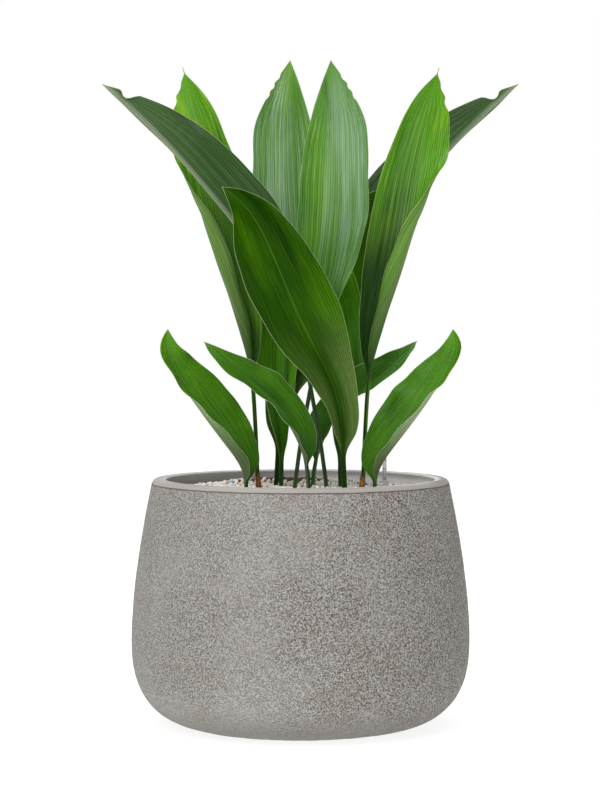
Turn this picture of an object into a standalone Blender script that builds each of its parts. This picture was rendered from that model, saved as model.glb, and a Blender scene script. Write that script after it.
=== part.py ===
"""Potted cast iron plant (Aspidistra): fourteen leaves on creeping rootstocks, in a round pot with a gauge.

Metres, +Z up. The origin is the centre of the pot's flat base, and -Y is the front.
Leaf routes are in millimetres.
"""

from __future__ import annotations

import math
from collections.abc import Sequence
from dataclasses import dataclass

import bmesh
import bpy
import numpy as np

MM = 0.001
GAP = 0.0003  # clearance between pieces that touch

# Pot
POT_HEIGHT = 0.330
BASE_RADIUS = 0.110
BELLY_RADIUS = 0.2257
BELLY_HEIGHT = 0.120
RIM_RADIUS = 0.197
RIM_DROP = 0.004  # the rim's top slopes down to its outer edge by this much
WALL = 0.018
FLOOR = 0.020
CORNER_POWER = 2.6  # roundness of the pot's lower corner
SHOULDER_POWER = 1.6  # how late the wall leans in above the belly
AROUND = 48

# Fill
SOIL_TOP = 0.2897
TOPPING_BOTTOM = SOIL_TOP + 0.0008
TOPPING_TOP = 0.313
STALK_HOLE = 0.0046
RHIZOME_RADIUS = 0.007
RHIZOME_HEIGHT = 0.2830
FOOT_HEIGHT = RHIZOME_HEIGHT + RHIZOME_RADIUS + GAP

# Leaves
STALK_RADIUS = 0.0030
BLADE_THICKNESS = 0.0009
LEAF_STEPS = 22
WIDTH_STATIONS = (0.0, 0.10, 0.25, 0.50, 0.75, 0.92, 1.0)
TIP_HALF_WIDTH = 0.0008

# Water gauge
GAUGE_X, GAUGE_Y = 0.1155, 0.110
GAUGE_TUBE_RADIUS = 0.0032
GAUGE_BORE = 0.0024
GAUGE_SHAFT_RADIUS = 0.0060
GAUGE_SHAFT_BORE = 0.0044
GAUGE_SHAFT_BOTTOM = 0.040
GAUGE_COLLAR_RADIUS = 0.0075
GAUGE_COLLAR_HEIGHT = 0.0062
GAUGE_TUBE_TOP = 0.378
GAUGE_ROD_RADIUS = 0.0011
GAUGE_TIP_RADIUS = 0.0017
GAUGE_TIP_BOTTOM = 0.3208
GAUGE_TIP_LENGTH = 0.0042
GAUGE_FLOAT_LENGTH = 0.045
GAUGE_FLOAT_BOTTOM = GAUGE_SHAFT_BOTTOM + 0.0043

Points = np.ndarray
Triple = tuple[float, float, float]


@dataclass(frozen=True)
class LeafForm:
    """A blade's outline and fold. Its left and right are those of a leaf seen from its face, tip up."""

    blade_start: float  # share of the route where the stalk ends
    left: tuple[float, ...]  # half-widths in mm at WIDTH_STATIONS
    right: tuple[float, ...]
    face: tuple[Triple, ...]  # where the face looks, from the blade's base to its tip
    fold_left: tuple[float, ...]  # degrees that each half rises at the midrib, from base to tip
    fold_right: tuple[float, ...]
    curl_left: tuple[float, ...] = (0.0, 0.0)  # degrees more by the time it reaches the margin
    curl_right: tuple[float, ...] = (0.0, 0.0)
    panels: int = 2  # flat strips across each half

    def mirrored(self) -> LeafForm:
        """The same blade as its mirror image in the YZ plane."""
        return LeafForm(
            self.blade_start,
            self.right,
            self.left,
            tuple((-x, y, z) for x, y, z in self.face),
            self.fold_right,
            self.fold_left,
            self.curl_right,
            self.curl_left,
            self.panels,
        )


@dataclass(frozen=True)
class Leaf:
    """One leaf: its form, and the route of its midrib in mm from the foot to the tip."""

    name: str
    form: LeafForm
    route: tuple[tuple[int, int, int], ...]

    def midrib(self, shares: Points) -> Points:
        """Points on the midrib at these shares of its length, in metres; its foot rests on the rootstock."""
        points = np.array(self.route) * MM
        points[0, 2] = FOOT_HEIGHT
        return spline_through(points, shares)


OUTER = LeafForm(
    blade_start=0.30,
    left=(3, 22, 46, 55, 32, 8, 0),
    right=(3, 26, 50, 64, 49, 18, 0),
    face=((-0.5, -1, 0.2), (-0.1, -1, 0.2), (0, -1, 0.3)),
    fold_left=(-60, -115, -110, -100, -90),
    fold_right=(20, -8, -5, 10),
)
ROLLED = LeafForm(
    blade_start=0.27,
    left=(3, 16, 32, 42, 34, 17, 0),
    right=(3, 24, 44, 54, 46, 27, 0),
    face=((-0.5, -1, 0.1), (-0.35, -1, 0.1), (0.2, -1, 0.2), (0.6, -1, 0.4)),
    fold_left=(15, 10, 12, 10),
    fold_right=(20, 15, 10, 5, 5, 5),
    curl_right=(180, 205, 210, 130, 10, 0),
    panels=4,
)
UPRIGHT = LeafForm(
    blade_start=0.36,
    left=(3, 26, 56, 55, 42, 18, 0),
    right=(3, 14, 28, 43, 42, 17, 0),
    face=((0.2, -1, 0.1), (0.1, -1, 0.1), (-0.05, -1, 0.1)),
    fold_left=(40, 14, 10),
    fold_right=(40, 14, 14),
    curl_right=(0, 20, 10),
)
BROAD = LeafForm(
    blade_start=0.13,
    left=(2, 16, 30, 47, 54, 30, 0),
    right=(3, 22, 32, 55, 43, 19, 0),
    face=((-0.2, -1, 0.2), (-0.1, -1, 0.3), (0.1, -1, 0.45), (0.2, -1, 0.6)),
    fold_left=(70, 50, 16, 8, 8),
    fold_right=(30, 12, 10, 8, 8),
)
MIDDLE = LeafForm(
    blade_start=0.13,
    left=(4, 15, 24, 36, 33, 16, 0),
    right=(3, 8, 15, 31, 32, 16, 0),
    face=((0.1, -1, 0.2), (0.1, -1, 0.2)),
    fold_left=(60, 20, 15, 10),
    fold_right=(60, 20, 15, 10),
)
LOW = LeafForm(
    blade_start=0.11,
    left=(3, 22, 38, 44, 32, 14, 0),
    right=(3, 26, 44, 50, 35, 14, 0),
    face=((0.8, -1, 0.5), (0.5, -1, 0.5), (0.4, -1, 0.4)),
    fold_left=(57, 55, 53, 25),
    fold_right=(30, 8, 5),
)
ARCHING = LeafForm(
    blade_start=0.20,
    left=(3, 16, 26, 32, 22, 9, 0),
    right=(3, 20, 33, 36, 22, 8, 0),
    face=((0.7, -0.6, 0.8), (0.4, -0.9, 0.9), (0.3, -0.9, 0.8)),
    fold_left=(42, 40, 38, 22, 5),
    fold_right=(40, 20, 20),
)
BROAD_BACK = LeafForm(
    blade_start=BROAD.blade_start,
    left=BROAD.right,
    right=BROAD.left,
    face=((0.2, -1, 0.1), (0.1, -1, 0.1), (-0.1, -1, 0.1), (-0.2, -1, 0.1)),
    fold_left=BROAD.fold_right,
    fold_right=BROAD.fold_left,
)

LEAVES = (
    Leaf(
        "leaf_outer_left",
        OUTER,
        (
            (59, -22, 291), (48, -30, 409), (19, -42, 508), (-50, -56, 617), (-125, -56, 711),
            (-197, -46, 791), (-261, -30, 851),
        ),
    ),
    Leaf(
        "leaf_outer_right",
        OUTER.mirrored(),
        (
            (-33, 85, 291), (-23, 116, 402), (8, 154, 505), (82, 192, 620), (163, 214, 722),
            (240, 214, 808), (306, 200, 870),
        ),
    ),
    Leaf(
        "leaf_rolled_right",
        ROLLED,
        (
            (82, 0, 291), (87, 0, 408), (94, 0, 488), (111, 0, 567), (130, 5, 647), (146, 15, 738),
            (163, 30, 808), (184, 50, 872),
        ),
    ),
    Leaf(
        "leaf_rolled_left",
        ROLLED.mirrored(),
        (
            (-56, 15, 291), (-61, 20, 407), (-68, 30, 487), (-85, 40, 567), (-105, 50, 648),
            (-121, 60, 740), (-137, 70, 811), (-158, 90, 876),
        ),
    ),
    Leaf(
        "leaf_upright_right",
        UPRIGHT,
        (
            (-11, -10, 291), (2, 0, 388), (14, 10, 454), (34, 20, 581), (45, 22, 642),
            (50, 20, 741), (47, 15, 834), (40, 0, 885),
        ),
    ),
    Leaf(
        "leaf_upright_left",
        UPRIGHT.mirrored(),
        (
            (38, 12, 291), (25, 17, 387), (13, 34, 453), (-7, 60, 581), (-18, 75, 643),
            (-24, 85, 744), (-21, 90, 839), (-14, 90, 893),
        ),
    ),
    Leaf(
        "leaf_broad_front",
        BROAD,
        (
            (60, -48, 291), (56, -55, 371), (52, -60, 417), (44, -68, 450), (23, -85, 496),
            (-1, -108, 544), (-41, -148, 637), (-73, -168, 689), (-99, -182, 710),
        ),
    ),
    Leaf(
        "leaf_broad_back",
        BROAD_BACK,
        (
            (-35, 60, 291), (-31, 74, 363), (-27, 86, 410), (-19, 102, 444), (3, 122, 492),
            (28, 142, 542), (73, 172, 644), (108, 187, 701), (138, 197, 726),
        ),
    ),
    Leaf(
        "leaf_middle_right",
        MIDDLE,
        (
            (55, 50, 291), (54, 68, 364), (58, 80, 417), (61, 94, 472), (58, 104, 526),
            (47, 113, 581), (24, 121, 629), (-1, 126, 661),
        ),
    ),
    Leaf(
        "leaf_middle_left",
        MIDDLE.mirrored(),
        (
            (-28, 30, 291), (-26, 55, 364), (-31, 70, 418), (-33, 88, 472), (-31, 105, 526),
            (-20, 120, 581), (3, 138, 629), (28, 155, 662),
        ),
    ),
    Leaf(
        "leaf_low_left",
        LOW,
        (
            (-73, -30, 291), (-75, -40, 341), (-95, -55, 375), (-131, -75, 424), (-162, -90, 474),
            (-172, -95, 503), (-172, -90, 530),
        ),
    ),
    Leaf(
        "leaf_low_right",
        LOW.mirrored(),
        (
            (100, -20, 291), (102, -25, 340), (122, -30, 373), (159, -35, 422), (191, -30, 472),
            (202, -25, 501), (202, -15, 529),
        ),
    ),
    Leaf(
        "leaf_arching_left",
        ARCHING,
        (
            (11, -60, 291), (6, -75, 359), (-14, -90, 405), (-50, -100, 448), (-83, -105, 476),
            (-108, -105, 498), (-125, -100, 514),
        ),
    ),
    Leaf(
        "leaf_arching_right",
        ARCHING.mirrored(),
        (
            (16, 44, 291), (21, 48, 351), (41, 52, 398), (79, 53, 443), (114, 55, 471),
            (140, 60, 494), (158, 70, 512),
        ),
    ),
)

# Each division of the plant: a rootstock, and the leaves whose feet stand on it.
ROOTSTOCKS = {
    "rootstock_left": ("low_left", "rolled_left", "broad_back", "outer_right"),
    "rootstock_middle": ("arching_left", "upright_right", "middle_left"),
    "rootstock_front": ("broad_front", "outer_left", "upright_left", "arching_right"),
    "rootstock_right": ("low_right", "rolled_right", "middle_right"),
}
SHEATHED = ("leaf_rolled_left", "leaf_rolled_right")
SHEATH_SIDE = 0.0009  # between a sheath and its stalk
SHEATH_WALL = 0.0009
SHEATH_HEIGHT = 0.024


def clear_scene() -> None:
    """Empties the startup scene."""
    for obj in list(bpy.data.objects):
        bpy.data.objects.remove(obj, do_unlink=True)


def make_material(name: str, colour: Triple, roughness: float, metallic: float = 0.0) -> bpy.types.Material:
    """A plain Principled BSDF."""
    material = bpy.data.materials.new(name)
    material.use_nodes = True
    shader = material.node_tree.nodes["Principled BSDF"]
    shader.inputs["Base Color"].default_value = (*colour, 1.0)
    shader.inputs["Roughness"].default_value = roughness
    shader.inputs["Metallic"].default_value = metallic
    material.diffuse_color = (*colour, 1.0)
    return material


def add_object(name: str, mesh: bmesh.types.BMesh, material: bpy.types.Material) -> bpy.types.Object:
    """Turns a bmesh into a smooth object, its faces pointing out."""
    bmesh.ops.recalc_face_normals(mesh, faces=mesh.faces)
    if mesh.calc_volume(signed=True) < 0:
        bmesh.ops.reverse_faces(mesh, faces=mesh.faces)
    data = bpy.data.meshes.new(name)
    mesh.to_mesh(data)
    mesh.free()
    data.materials.append(material)
    data.shade_smooth()
    data.set_sharp_from_angle(angle=math.radians(35))
    obj = bpy.data.objects.new(name, data)
    bpy.context.scene.collection.objects.link(obj)
    return obj


def subtract(obj: bpy.types.Object, cutter: bpy.types.Object) -> None:
    """Cuts one object with another, which becomes a hidden helper."""
    cut = obj.modifiers.new(f"cut {cutter.name}", "BOOLEAN")
    cut.operation = "DIFFERENCE"
    cut.object = cutter
    cut.use_self = True
    cutter.hide_render = True
    cutter.display_type = "WIRE"


def add_rings(mesh: bmesh.types.BMesh, rings: Sequence[Points], thin: bool = False) -> None:
    """Skins a run of rings of equal count, and closes both ends.

    A thin skin's rings run along its upper side and back along its lower one. Its faces are cut along the same
    diagonals above and below, so that a twisted skin keeps its thickness.
    """
    made = [[mesh.verts.new(tuple(point)) for point in ring] for ring in rings]
    for lower, upper in zip(made, made[1:]):
        for index, corner in enumerate(lower):
            after = (index + 1) % len(lower)
            if not thin:
                mesh.faces.new((corner, lower[after], upper[after], upper[index]))
            elif index < len(lower) // 2:
                mesh.faces.new((corner, lower[after], upper[after]))
                mesh.faces.new((corner, upper[after], upper[index]))
            else:
                mesh.faces.new((corner, lower[after], upper[index]))
                mesh.faces.new((lower[after], upper[after], upper[index]))
    mesh.faces.new(made[0][::-1])
    mesh.faces.new(made[-1])


def turned(
    profile: Sequence[tuple[float, float]], centre: tuple[float, float], around: int
) -> bmesh.types.BMesh:
    """A closed turned body from (radius, height) points; a radius of 0 at either end makes a pole."""
    mesh = bmesh.new()
    rings = []
    for radius, height in profile:
        if radius == 0:
            rings.append([mesh.verts.new((*centre, height))])
            continue
        angles = [math.tau * step / around for step in range(around)]
        ring = [(centre[0] + radius * math.cos(a), centre[1] + radius * math.sin(a), height) for a in angles]
        rings.append([mesh.verts.new(point) for point in ring])
    pairs = list(zip(rings, rings[1:]))
    if len(rings[0]) > 1:
        pairs.append((rings[-1], rings[0]))
    for first, second in pairs:
        for index in range(around):
            after = (index + 1) % around
            corners = [first[index % len(first)], first[after % len(first)]]
            corners += [second[after % len(second)], second[index % len(second)]]
            mesh.faces.new(list(dict.fromkeys(corners)))
    return mesh


def monotone(stations: Sequence[float], values: Sequence, at: Points) -> Points:
    """Smooth interpolation through the stations without overshoot; values may be numbers or vectors."""
    x = np.asarray(stations, float)
    y = np.asarray(values, float)
    flat = y.ndim == 1
    y = y[:, None] if flat else y
    slope = np.diff(y, axis=0) / np.diff(x)[:, None]
    tangent = np.vstack([slope[:1], (slope[:-1] + slope[1:]) / 2, slope[-1:]])
    turns = np.vstack([np.ones_like(slope[:1]), slope[:-1] * slope[1:], np.ones_like(slope[:1])]) <= 0
    tangent[turns] = 0
    limit = 3 * np.minimum(
        np.abs(np.vstack([slope[:1], slope])), np.abs(np.vstack([slope, slope[-1:]]))
    )
    tangent = np.clip(tangent, -limit, limit)
    at = np.clip(at, x[0], x[-1])
    cell = np.clip(np.searchsorted(x, at, side="right") - 1, 0, len(x) - 2)
    span = (x[cell + 1] - x[cell])[:, None]
    t = (at[:, None] - x[cell][:, None]) / span
    result = (
        (1 + 2 * t) * (1 - t) ** 2 * y[cell]
        + t * (1 - t) ** 2 * span * tangent[cell]
        + t**2 * (3 - 2 * t) * y[cell + 1]
        + t**2 * (t - 1) * span * tangent[cell + 1]
    )
    return result[:, 0] if flat else result


def evenly(values: Sequence, at: Points) -> Points:
    """The values, spread evenly from 0 to 1, read at the given shares."""
    return monotone(np.linspace(0, 1, len(values)), values, at)


def spline_through(points: Points, shares: Points) -> Points:
    """A natural cubic spline through the points, read at shares of its length."""
    lengths = np.concatenate([[0], np.cumsum(np.linalg.norm(np.diff(points, axis=0), axis=1))])
    span = np.diff(lengths)
    count = len(points)
    system = np.eye(count)
    right = np.zeros((count, 3))
    for row in range(1, count - 1):
        system[row, row - 1 : row + 2] = (span[row - 1], 2 * (span[row - 1] + span[row]), span[row])
        rise = (points[row + 1] - points[row]) / span[row]
        right[row] = 6 * (rise - (points[row] - points[row - 1]) / span[row - 1])
    bend = np.linalg.solve(system, right)

    def read(where: Points) -> Points:
        cell = np.clip(np.searchsorted(lengths, where, side="right") - 1, 0, count - 2)
        width = span[cell][:, None]
        a = (lengths[cell + 1] - where)[:, None] / width
        b = 1 - a
        cubic = ((a**3 - a) * bend[cell] + (b**3 - b) * bend[cell + 1]) * width**2 / 6
        return a * points[cell] + b * points[cell + 1] + cubic

    fine = read(np.linspace(0, lengths[-1], 400))
    along = np.concatenate([[0], np.cumsum(np.linalg.norm(np.diff(fine, axis=0), axis=1))])
    places = np.asarray(shares) * along[-1]
    return np.stack([np.interp(places, along, fine[:, axis]) for axis in range(3)], axis=1)


def half_section(form: LeafForm, side: str, width: Points, at: Points) -> tuple[Points, Points, Points]:
    """One half's cross-sections: offsets outward and upward from the midrib, and the slope, by station."""
    fold = np.radians(evenly(getattr(form, f"fold_{side}"), at))
    curl = np.radians(evenly(getattr(form, f"curl_{side}"), at))
    steps = 6 * form.panels
    outward = [np.zeros_like(width)]
    upward = [np.zeros_like(width)]
    slope = [fold]
    for step in range(steps):
        angle = fold + curl * ((step + 0.5) / steps) ** 1.5
        outward.append(outward[-1] + width / steps * np.cos(angle))
        upward.append(upward[-1] + width / steps * np.sin(angle))
        slope.append(fold + curl * ((step + 1) / steps) ** 1.5)
    pick = slice(None, None, steps // form.panels)
    return np.array(outward)[pick], np.array(upward)[pick], np.array(slope)[pick]


def leaf_rings(leaf: Leaf) -> list[Points]:
    """The leaf's cross-sections from foot to tip: a round stalk that opens into a folded blade."""
    form = leaf.form
    start = form.blade_start
    stalk_shares = np.linspace(0, start, 6)
    shares = np.concatenate([stalk_shares[:-1], start + (1 - start) * np.linspace(0, 1, LEAF_STEPS - 5)])
    middle = leaf.midrib(shares)
    run = np.gradient(middle, axis=0)
    run /= np.linalg.norm(run, axis=1)[:, None]
    run[0] = (0, 0, 1)  # the foot is level
    at = np.clip((shares - start) / (1 - start), 0, 1)
    face = evenly(form.face, at)
    face -= np.sum(face * run, axis=1)[:, None] * run
    face /= np.linalg.norm(face, axis=1)[:, None]
    across = np.cross(run, face)

    opened = np.clip(at / 0.10, 0, 1)[:, None]
    left_fold = np.radians(evenly(form.fold_left, at))[:, None]
    right_fold = np.radians(evenly(form.fold_right, at))[:, None]
    crease = face * (np.cos(left_fold) + np.cos(right_fold))
    crease += across * (np.sin(left_fold) - np.sin(right_fold))
    crease /= np.linalg.norm(crease, axis=1)[:, None]  # halfway between the two halves' normals
    upper: list[Points] = []
    lower: list[Points] = []
    for side, sign in (("left", -1), ("right", 1)):
        width = monotone(WIDTH_STATIONS, getattr(form, side), at) * MM
        width = np.maximum(width, TIP_HALF_WIDTH)
        outward, upward, slope = half_section(form, side, width, at)
        half_upper, half_lower = [], []
        for index in range(form.panels + 1):
            out, up, tilt = outward[index][:, None], upward[index][:, None], slope[index][:, None]
            normal = face * np.cos(tilt) - sign * across * np.sin(tilt)
            if index == 0:
                normal = crease
            place = middle + sign * out * across + up * face
            turn = sign * index / form.panels * math.radians(80)
            rim = across * math.sin(turn) + face * math.cos(turn)
            rim_below = across * math.sin(turn) - face * math.cos(turn)
            thick = normal * BLADE_THICKNESS / 2
            half_upper.append(opened * (place + thick) + (1 - opened) * (middle + STALK_RADIUS * rim))
            half_lower.append(opened * (place - thick) + (1 - opened) * (middle + STALK_RADIUS * rim_below))
        upper = half_upper[:0:-1] if side == "left" else upper + half_upper
        lower = half_lower[:0:-1] if side == "left" else lower + half_lower
    outline = upper + lower[::-1]
    return [np.array([points[station] for points in outline]) for station in range(len(shares))]


def make_leaf(leaf: Leaf, material: bpy.types.Material) -> None:
    mesh = bmesh.new()
    add_rings(mesh, leaf_rings(leaf), thin=True)
    add_object(leaf.name, mesh, material)


def foot_of(name: str) -> tuple[float, float]:
    """Where the stalk of this leaf leaves the rhizome."""
    leaf = next(leaf for leaf in LEAVES if leaf.name == name)
    return leaf.route[0][0] * MM, leaf.route[0][1] * MM


def outer_radius(height: float) -> float:
    """The pot's outline: a round lower corner, a belly, and a wall that leans in to the rim."""
    if height < BELLY_HEIGHT:
        share = (1 - (1 - height / BELLY_HEIGHT) ** CORNER_POWER) ** (1 / CORNER_POWER)
        return BASE_RADIUS + (BELLY_RADIUS - BASE_RADIUS) * share
    share = (height - BELLY_HEIGHT) / (POT_HEIGHT - BELLY_HEIGHT)
    return BELLY_RADIUS - (BELLY_RADIUS - RIM_RADIUS) * share**SHOULDER_POWER


def inner_profile(top: float, inset: float) -> list[tuple[float, float]]:
    """(radius, height) down the pot's inner face from the given height to the floor, drawn in by inset."""
    heights = [top, 0.27, 0.22, 0.17, BELLY_HEIGHT, 0.08, 0.052]
    points = [(outer_radius(height) - WALL - inset, height) for height in heights]
    floor = FLOOR + inset
    return points + [(points[-1][0] - 0.012, 0.034), (points[-1][0] - 0.034, floor), (0.0, floor)]


def make_planter(material: bpy.types.Material) -> None:
    low = [BELLY_HEIGHT * (1 - math.cos(math.radians(angle))) for angle in (0, 6, 13, 22, 33, 47, 64, 90)]
    high = np.linspace(BELLY_HEIGHT, POT_HEIGHT - RIM_DROP, 7)[1:]
    outside = [(0.0, 0.0)] + [(outer_radius(height), height) for height in (*low, *high)]
    rim_inner = RIM_RADIUS - WALL
    lip = [(RIM_RADIUS - 0.0025, POT_HEIGHT - 0.0012), (rim_inner + 0.003, POT_HEIGHT)]
    lip.append((rim_inner + 0.0008, POT_HEIGHT - 0.0010))
    mesh = turned(outside + lip + inner_profile(POT_HEIGHT - 0.004, 0.0), (0, 0), AROUND)
    add_object("planter", mesh, material)


def make_fill(
    name: str, bottom_up: list[tuple[float, float]], material: bpy.types.Material
) -> bpy.types.Object:
    """A turned body of the pot's fill."""
    return add_object(name, turned(bottom_up, (0, 0), AROUND), material)


def posts(name: str, ends: Sequence[tuple[Points, Points]], radii: Sequence[float]) -> bpy.types.Object:
    """One cutter made of leaning round posts, each from a point at its foot to one at its top."""
    mesh = bmesh.new()
    angles = np.linspace(0, math.tau, 12, endpoint=False)
    circle = np.stack([np.cos(angles), np.sin(angles), np.zeros(12)], axis=1)
    for (foot, top), radius in zip(ends, radii):
        add_rings(mesh, [foot + radius * circle, top + radius * circle])
    return add_object(name, mesh, bpy.data.materials["potting soil"])


def stalk_line(leaf: Leaf, low: float, high: float) -> tuple[Points, Points]:
    """The straight line through the stalk's centre at two heights, run on by 10 mm at either end."""
    route = leaf.midrib(np.linspace(0, 0.3, 120))
    first, second = (route[np.argmin(np.abs(route[:, 2] - height))] for height in (low, high))
    along = (second - first) / np.linalg.norm(second - first)
    return first - 0.01 * along, second + 0.01 * along


def rootstock_rings(feet: Sequence[str], at_feet: float, between: float) -> list[Points]:
    """A creeping rootstock that runs under these feet, thicker under each of them than between."""
    knots = np.array([(*foot_of(f"leaf_{name}"), RHIZOME_HEIGHT) for name in feet])
    shares = np.concatenate([[0], np.cumsum(np.linalg.norm(np.diff(knots, axis=0), axis=1))])
    shares /= shares[-1]
    places = np.sort(np.concatenate([shares, (shares[:-1] + shares[1:]) / 2]))
    axis = np.stack([np.interp(places, shares, knots[:, column]) for column in range(3)], axis=1)
    run = np.gradient(axis, axis=0)
    run /= np.linalg.norm(run, axis=1)[:, None]
    side = np.cross(run, (0, 0, 1))
    angles = np.linspace(0, math.tau, 8, endpoint=False) + math.tau / 16
    up = np.array((0, 0, 1))
    circle = side[:, None] * np.cos(angles)[None, :, None] + up * np.sin(angles)[None, :, None]
    radii = np.where(np.arange(len(places)) % 2, between, at_feet) / math.cos(math.tau / 16)
    body = [axis[index] + radii[index] * circle[index] for index in range(len(places))]
    nose = [axis[0] - run[0] * at_feet + between * 0.6 * circle[0]]
    tail = [axis[-1] + run[-1] * at_feet + between * 0.6 * circle[-1]]
    return nose + body + tail


def make_rootstocks(material: bpy.types.Material) -> None:
    """The divisions that the plant was potted from."""
    for name, feet in ROOTSTOCKS.items():
        mesh = bmesh.new()
        add_rings(mesh, rootstock_rings(feet, RHIZOME_RADIUS, RHIZOME_RADIUS * 0.82))
        add_object(name, mesh, material)


def make_substrate(soil: bpy.types.Material, granules: bpy.types.Material) -> None:
    """The soil, with a trench for the rootstock and a bore for the gauge, and the granule layer over it."""
    inside = inner_profile(SOIL_TOP, GAP)
    body = make_fill("potting_soil", [(0.0, SOIL_TOP), *inside], soil)
    trenches = bmesh.new()
    wide = RHIZOME_RADIUS + 2 * GAP
    for feet in ROOTSTOCKS.values():
        add_rings(trenches, rootstock_rings(feet, wide, wide))
    subtract(body, add_object("trenches", trenches, soil))
    shaft = tuple(np.array((GAUGE_X, GAUGE_Y, height)) for height in (GAUGE_SHAFT_BOTTOM - GAP, POT_HEIGHT))
    shaft_hole = GAUGE_SHAFT_RADIUS + 2 * GAP
    subtract(body, posts("gauge bore", [shaft], [shaft_hole]))

    edge = [(outer_radius(height) - WALL - GAP, height) for height in (TOPPING_TOP, TOPPING_BOTTOM)]
    layer = make_fill("mineral_topping", [(0.0, TOPPING_TOP), *edge, (0.0, TOPPING_BOTTOM)], granules)
    holes = [stalk_line(leaf, TOPPING_BOTTOM, TOPPING_TOP) for leaf in LEAVES]
    radii = [STALK_HOLE] * len(holes) + [shaft_hole]
    subtract(layer, posts("stalk holes", [*holes, shaft], radii))


def make_sheath(leaf_name: str, material: bpy.types.Material) -> None:
    """A dry papery sheath: a pointed half-tube that stands against the outside of a stalk."""
    leaf = next(leaf for leaf in LEAVES if leaf.name == leaf_name)
    route = leaf.midrib(np.linspace(0, 0.3, 80))
    outside = 1.0 if leaf.route[0][0] < 0 else -1.0
    rings = []
    for step in range(7):
        share = step / 6
        height = TOPPING_TOP + GAP + SHEATH_HEIGHT * share
        x, y, _ = route[np.argmin(np.abs(route[:, 2] - height))]
        inner = STALK_RADIUS + SHEATH_SIDE + STALK_HOLE * 0.25 * share
        half = math.radians(75) * (1 - 0.85 * share)
        facing = math.radians(-90) + outside * math.radians(35)
        bend = np.linspace(-half, half, 7) + facing
        outer = inner + SHEATH_WALL
        outer_arc = [(x + outer * math.cos(t), y + outer * math.sin(t), height) for t in bend]
        inner_arc = [(x + inner * math.cos(t), y + inner * math.sin(t), height) for t in bend[::-1]]
        rings.append(np.array(outer_arc + inner_arc))
    mesh = bmesh.new()
    add_rings(mesh, rings)
    add_object(leaf_name.replace("leaf", "sheath"), mesh, material)


def tube(
    name: str, outer: float, bore: float, bottom: float, top: float, material: bpy.types.Material
) -> None:
    """An open tube on the gauge's axis."""
    profile = [(outer, top), (bore, top), (bore, bottom), (outer, bottom)]
    add_object(name, turned(profile, (GAUGE_X, GAUGE_Y), 16), material)


def make_gauge(clear: bpy.types.Material, dark: bpy.types.Material, red: bpy.types.Material) -> None:
    """The water gauge: a shaft in the soil, a collar and tube above it, and the float inside them."""
    axis = (GAUGE_X, GAUGE_Y)
    shaft_top = TOPPING_TOP - GAP
    floor = GAUGE_SHAFT_BOTTOM + 0.004
    shaft = [
        (0.0, GAUGE_SHAFT_BOTTOM), (GAUGE_SHAFT_RADIUS, GAUGE_SHAFT_BOTTOM), (GAUGE_SHAFT_RADIUS, shaft_top),
    ]
    shaft += [(GAUGE_SHAFT_BORE, shaft_top), (GAUGE_SHAFT_BORE, floor), (0.0, floor)]
    add_object("gauge_shaft", turned(shaft, axis, 16), dark)

    seat = TOPPING_TOP + GAP
    bore = GAUGE_TUBE_RADIUS + GAP
    collar = [(bore, seat), (GAUGE_COLLAR_RADIUS, seat), (GAUGE_COLLAR_RADIUS * 0.98, seat + 0.002)]
    collar += [(GAUGE_COLLAR_RADIUS * 0.82, seat + 0.0045), (bore + 0.001, seat + GAUGE_COLLAR_HEIGHT)]
    collar.append((bore, seat + GAUGE_COLLAR_HEIGHT))
    add_object("gauge_collar", turned(collar, axis, 16), clear)

    tube("gauge_tube", GAUGE_TUBE_RADIUS, GAUGE_BORE, seat, GAUGE_TUBE_TOP, clear)
    cap_seat = GAUGE_TUBE_TOP + GAP
    cap = [(0.0, cap_seat), (GAUGE_TUBE_RADIUS, cap_seat), (GAUGE_TUBE_RADIUS, cap_seat + 0.0015)]
    cap += [(GAUGE_TUBE_RADIUS * 0.7, cap_seat + 0.0032), (0.0, cap_seat + 0.0038)]
    add_object("gauge_cap", turned(cap, axis, 16), clear)

    float_radius = GAUGE_SHAFT_BORE - 0.0008
    shoulder = GAUGE_FLOAT_BOTTOM + GAUGE_FLOAT_LENGTH
    rod_top = GAUGE_TIP_BOTTOM - GAP
    rod = [(0.0, GAUGE_FLOAT_BOTTOM), (float_radius, GAUGE_FLOAT_BOTTOM), (float_radius, shoulder)]
    rod += [(GAUGE_ROD_RADIUS, shoulder + 0.003), (GAUGE_ROD_RADIUS, rod_top), (0.0, rod_top)]
    add_object("gauge_float", turned(rod, axis, 12), clear)
    tip_top = GAUGE_TIP_BOTTOM + GAUGE_TIP_LENGTH
    tip = [(0.0, GAUGE_TIP_BOTTOM), (GAUGE_TIP_RADIUS, GAUGE_TIP_BOTTOM), (GAUGE_TIP_RADIUS, tip_top - 0.001)]
    tip += [(GAUGE_TIP_RADIUS * 0.6, tip_top), (0.0, tip_top)]
    add_object("gauge_tip", turned(tip, axis, 12), red)


def main() -> None:
    clear_scene()
    make_planter(make_material("fibre concrete", (0.33, 0.31, 0.29), 0.85))
    soil = make_material("potting soil", (0.05, 0.035, 0.025), 0.95)
    granules = make_material("mineral granules", (0.62, 0.55, 0.48), 0.9)
    make_rootstocks(make_material("rootstock", (0.25, 0.16, 0.08), 0.8))
    make_substrate(soil, granules)
    leaf_green = make_material("leaf", (0.055, 0.17, 0.018), 0.4)
    for leaf in LEAVES:
        make_leaf(leaf, leaf_green)
    papery = make_material("dry sheath", (0.33, 0.17, 0.07), 0.8)
    for name in SHEATHED:
        make_sheath(name, papery)
    clear = make_material("clear plastic", (0.75, 0.78, 0.78), 0.15)
    dark = make_material("grey plastic", (0.25, 0.25, 0.25), 0.5)
    make_gauge(clear, dark, make_material("red plastic", (0.6, 0.03, 0.02), 0.4))


main()
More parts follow.
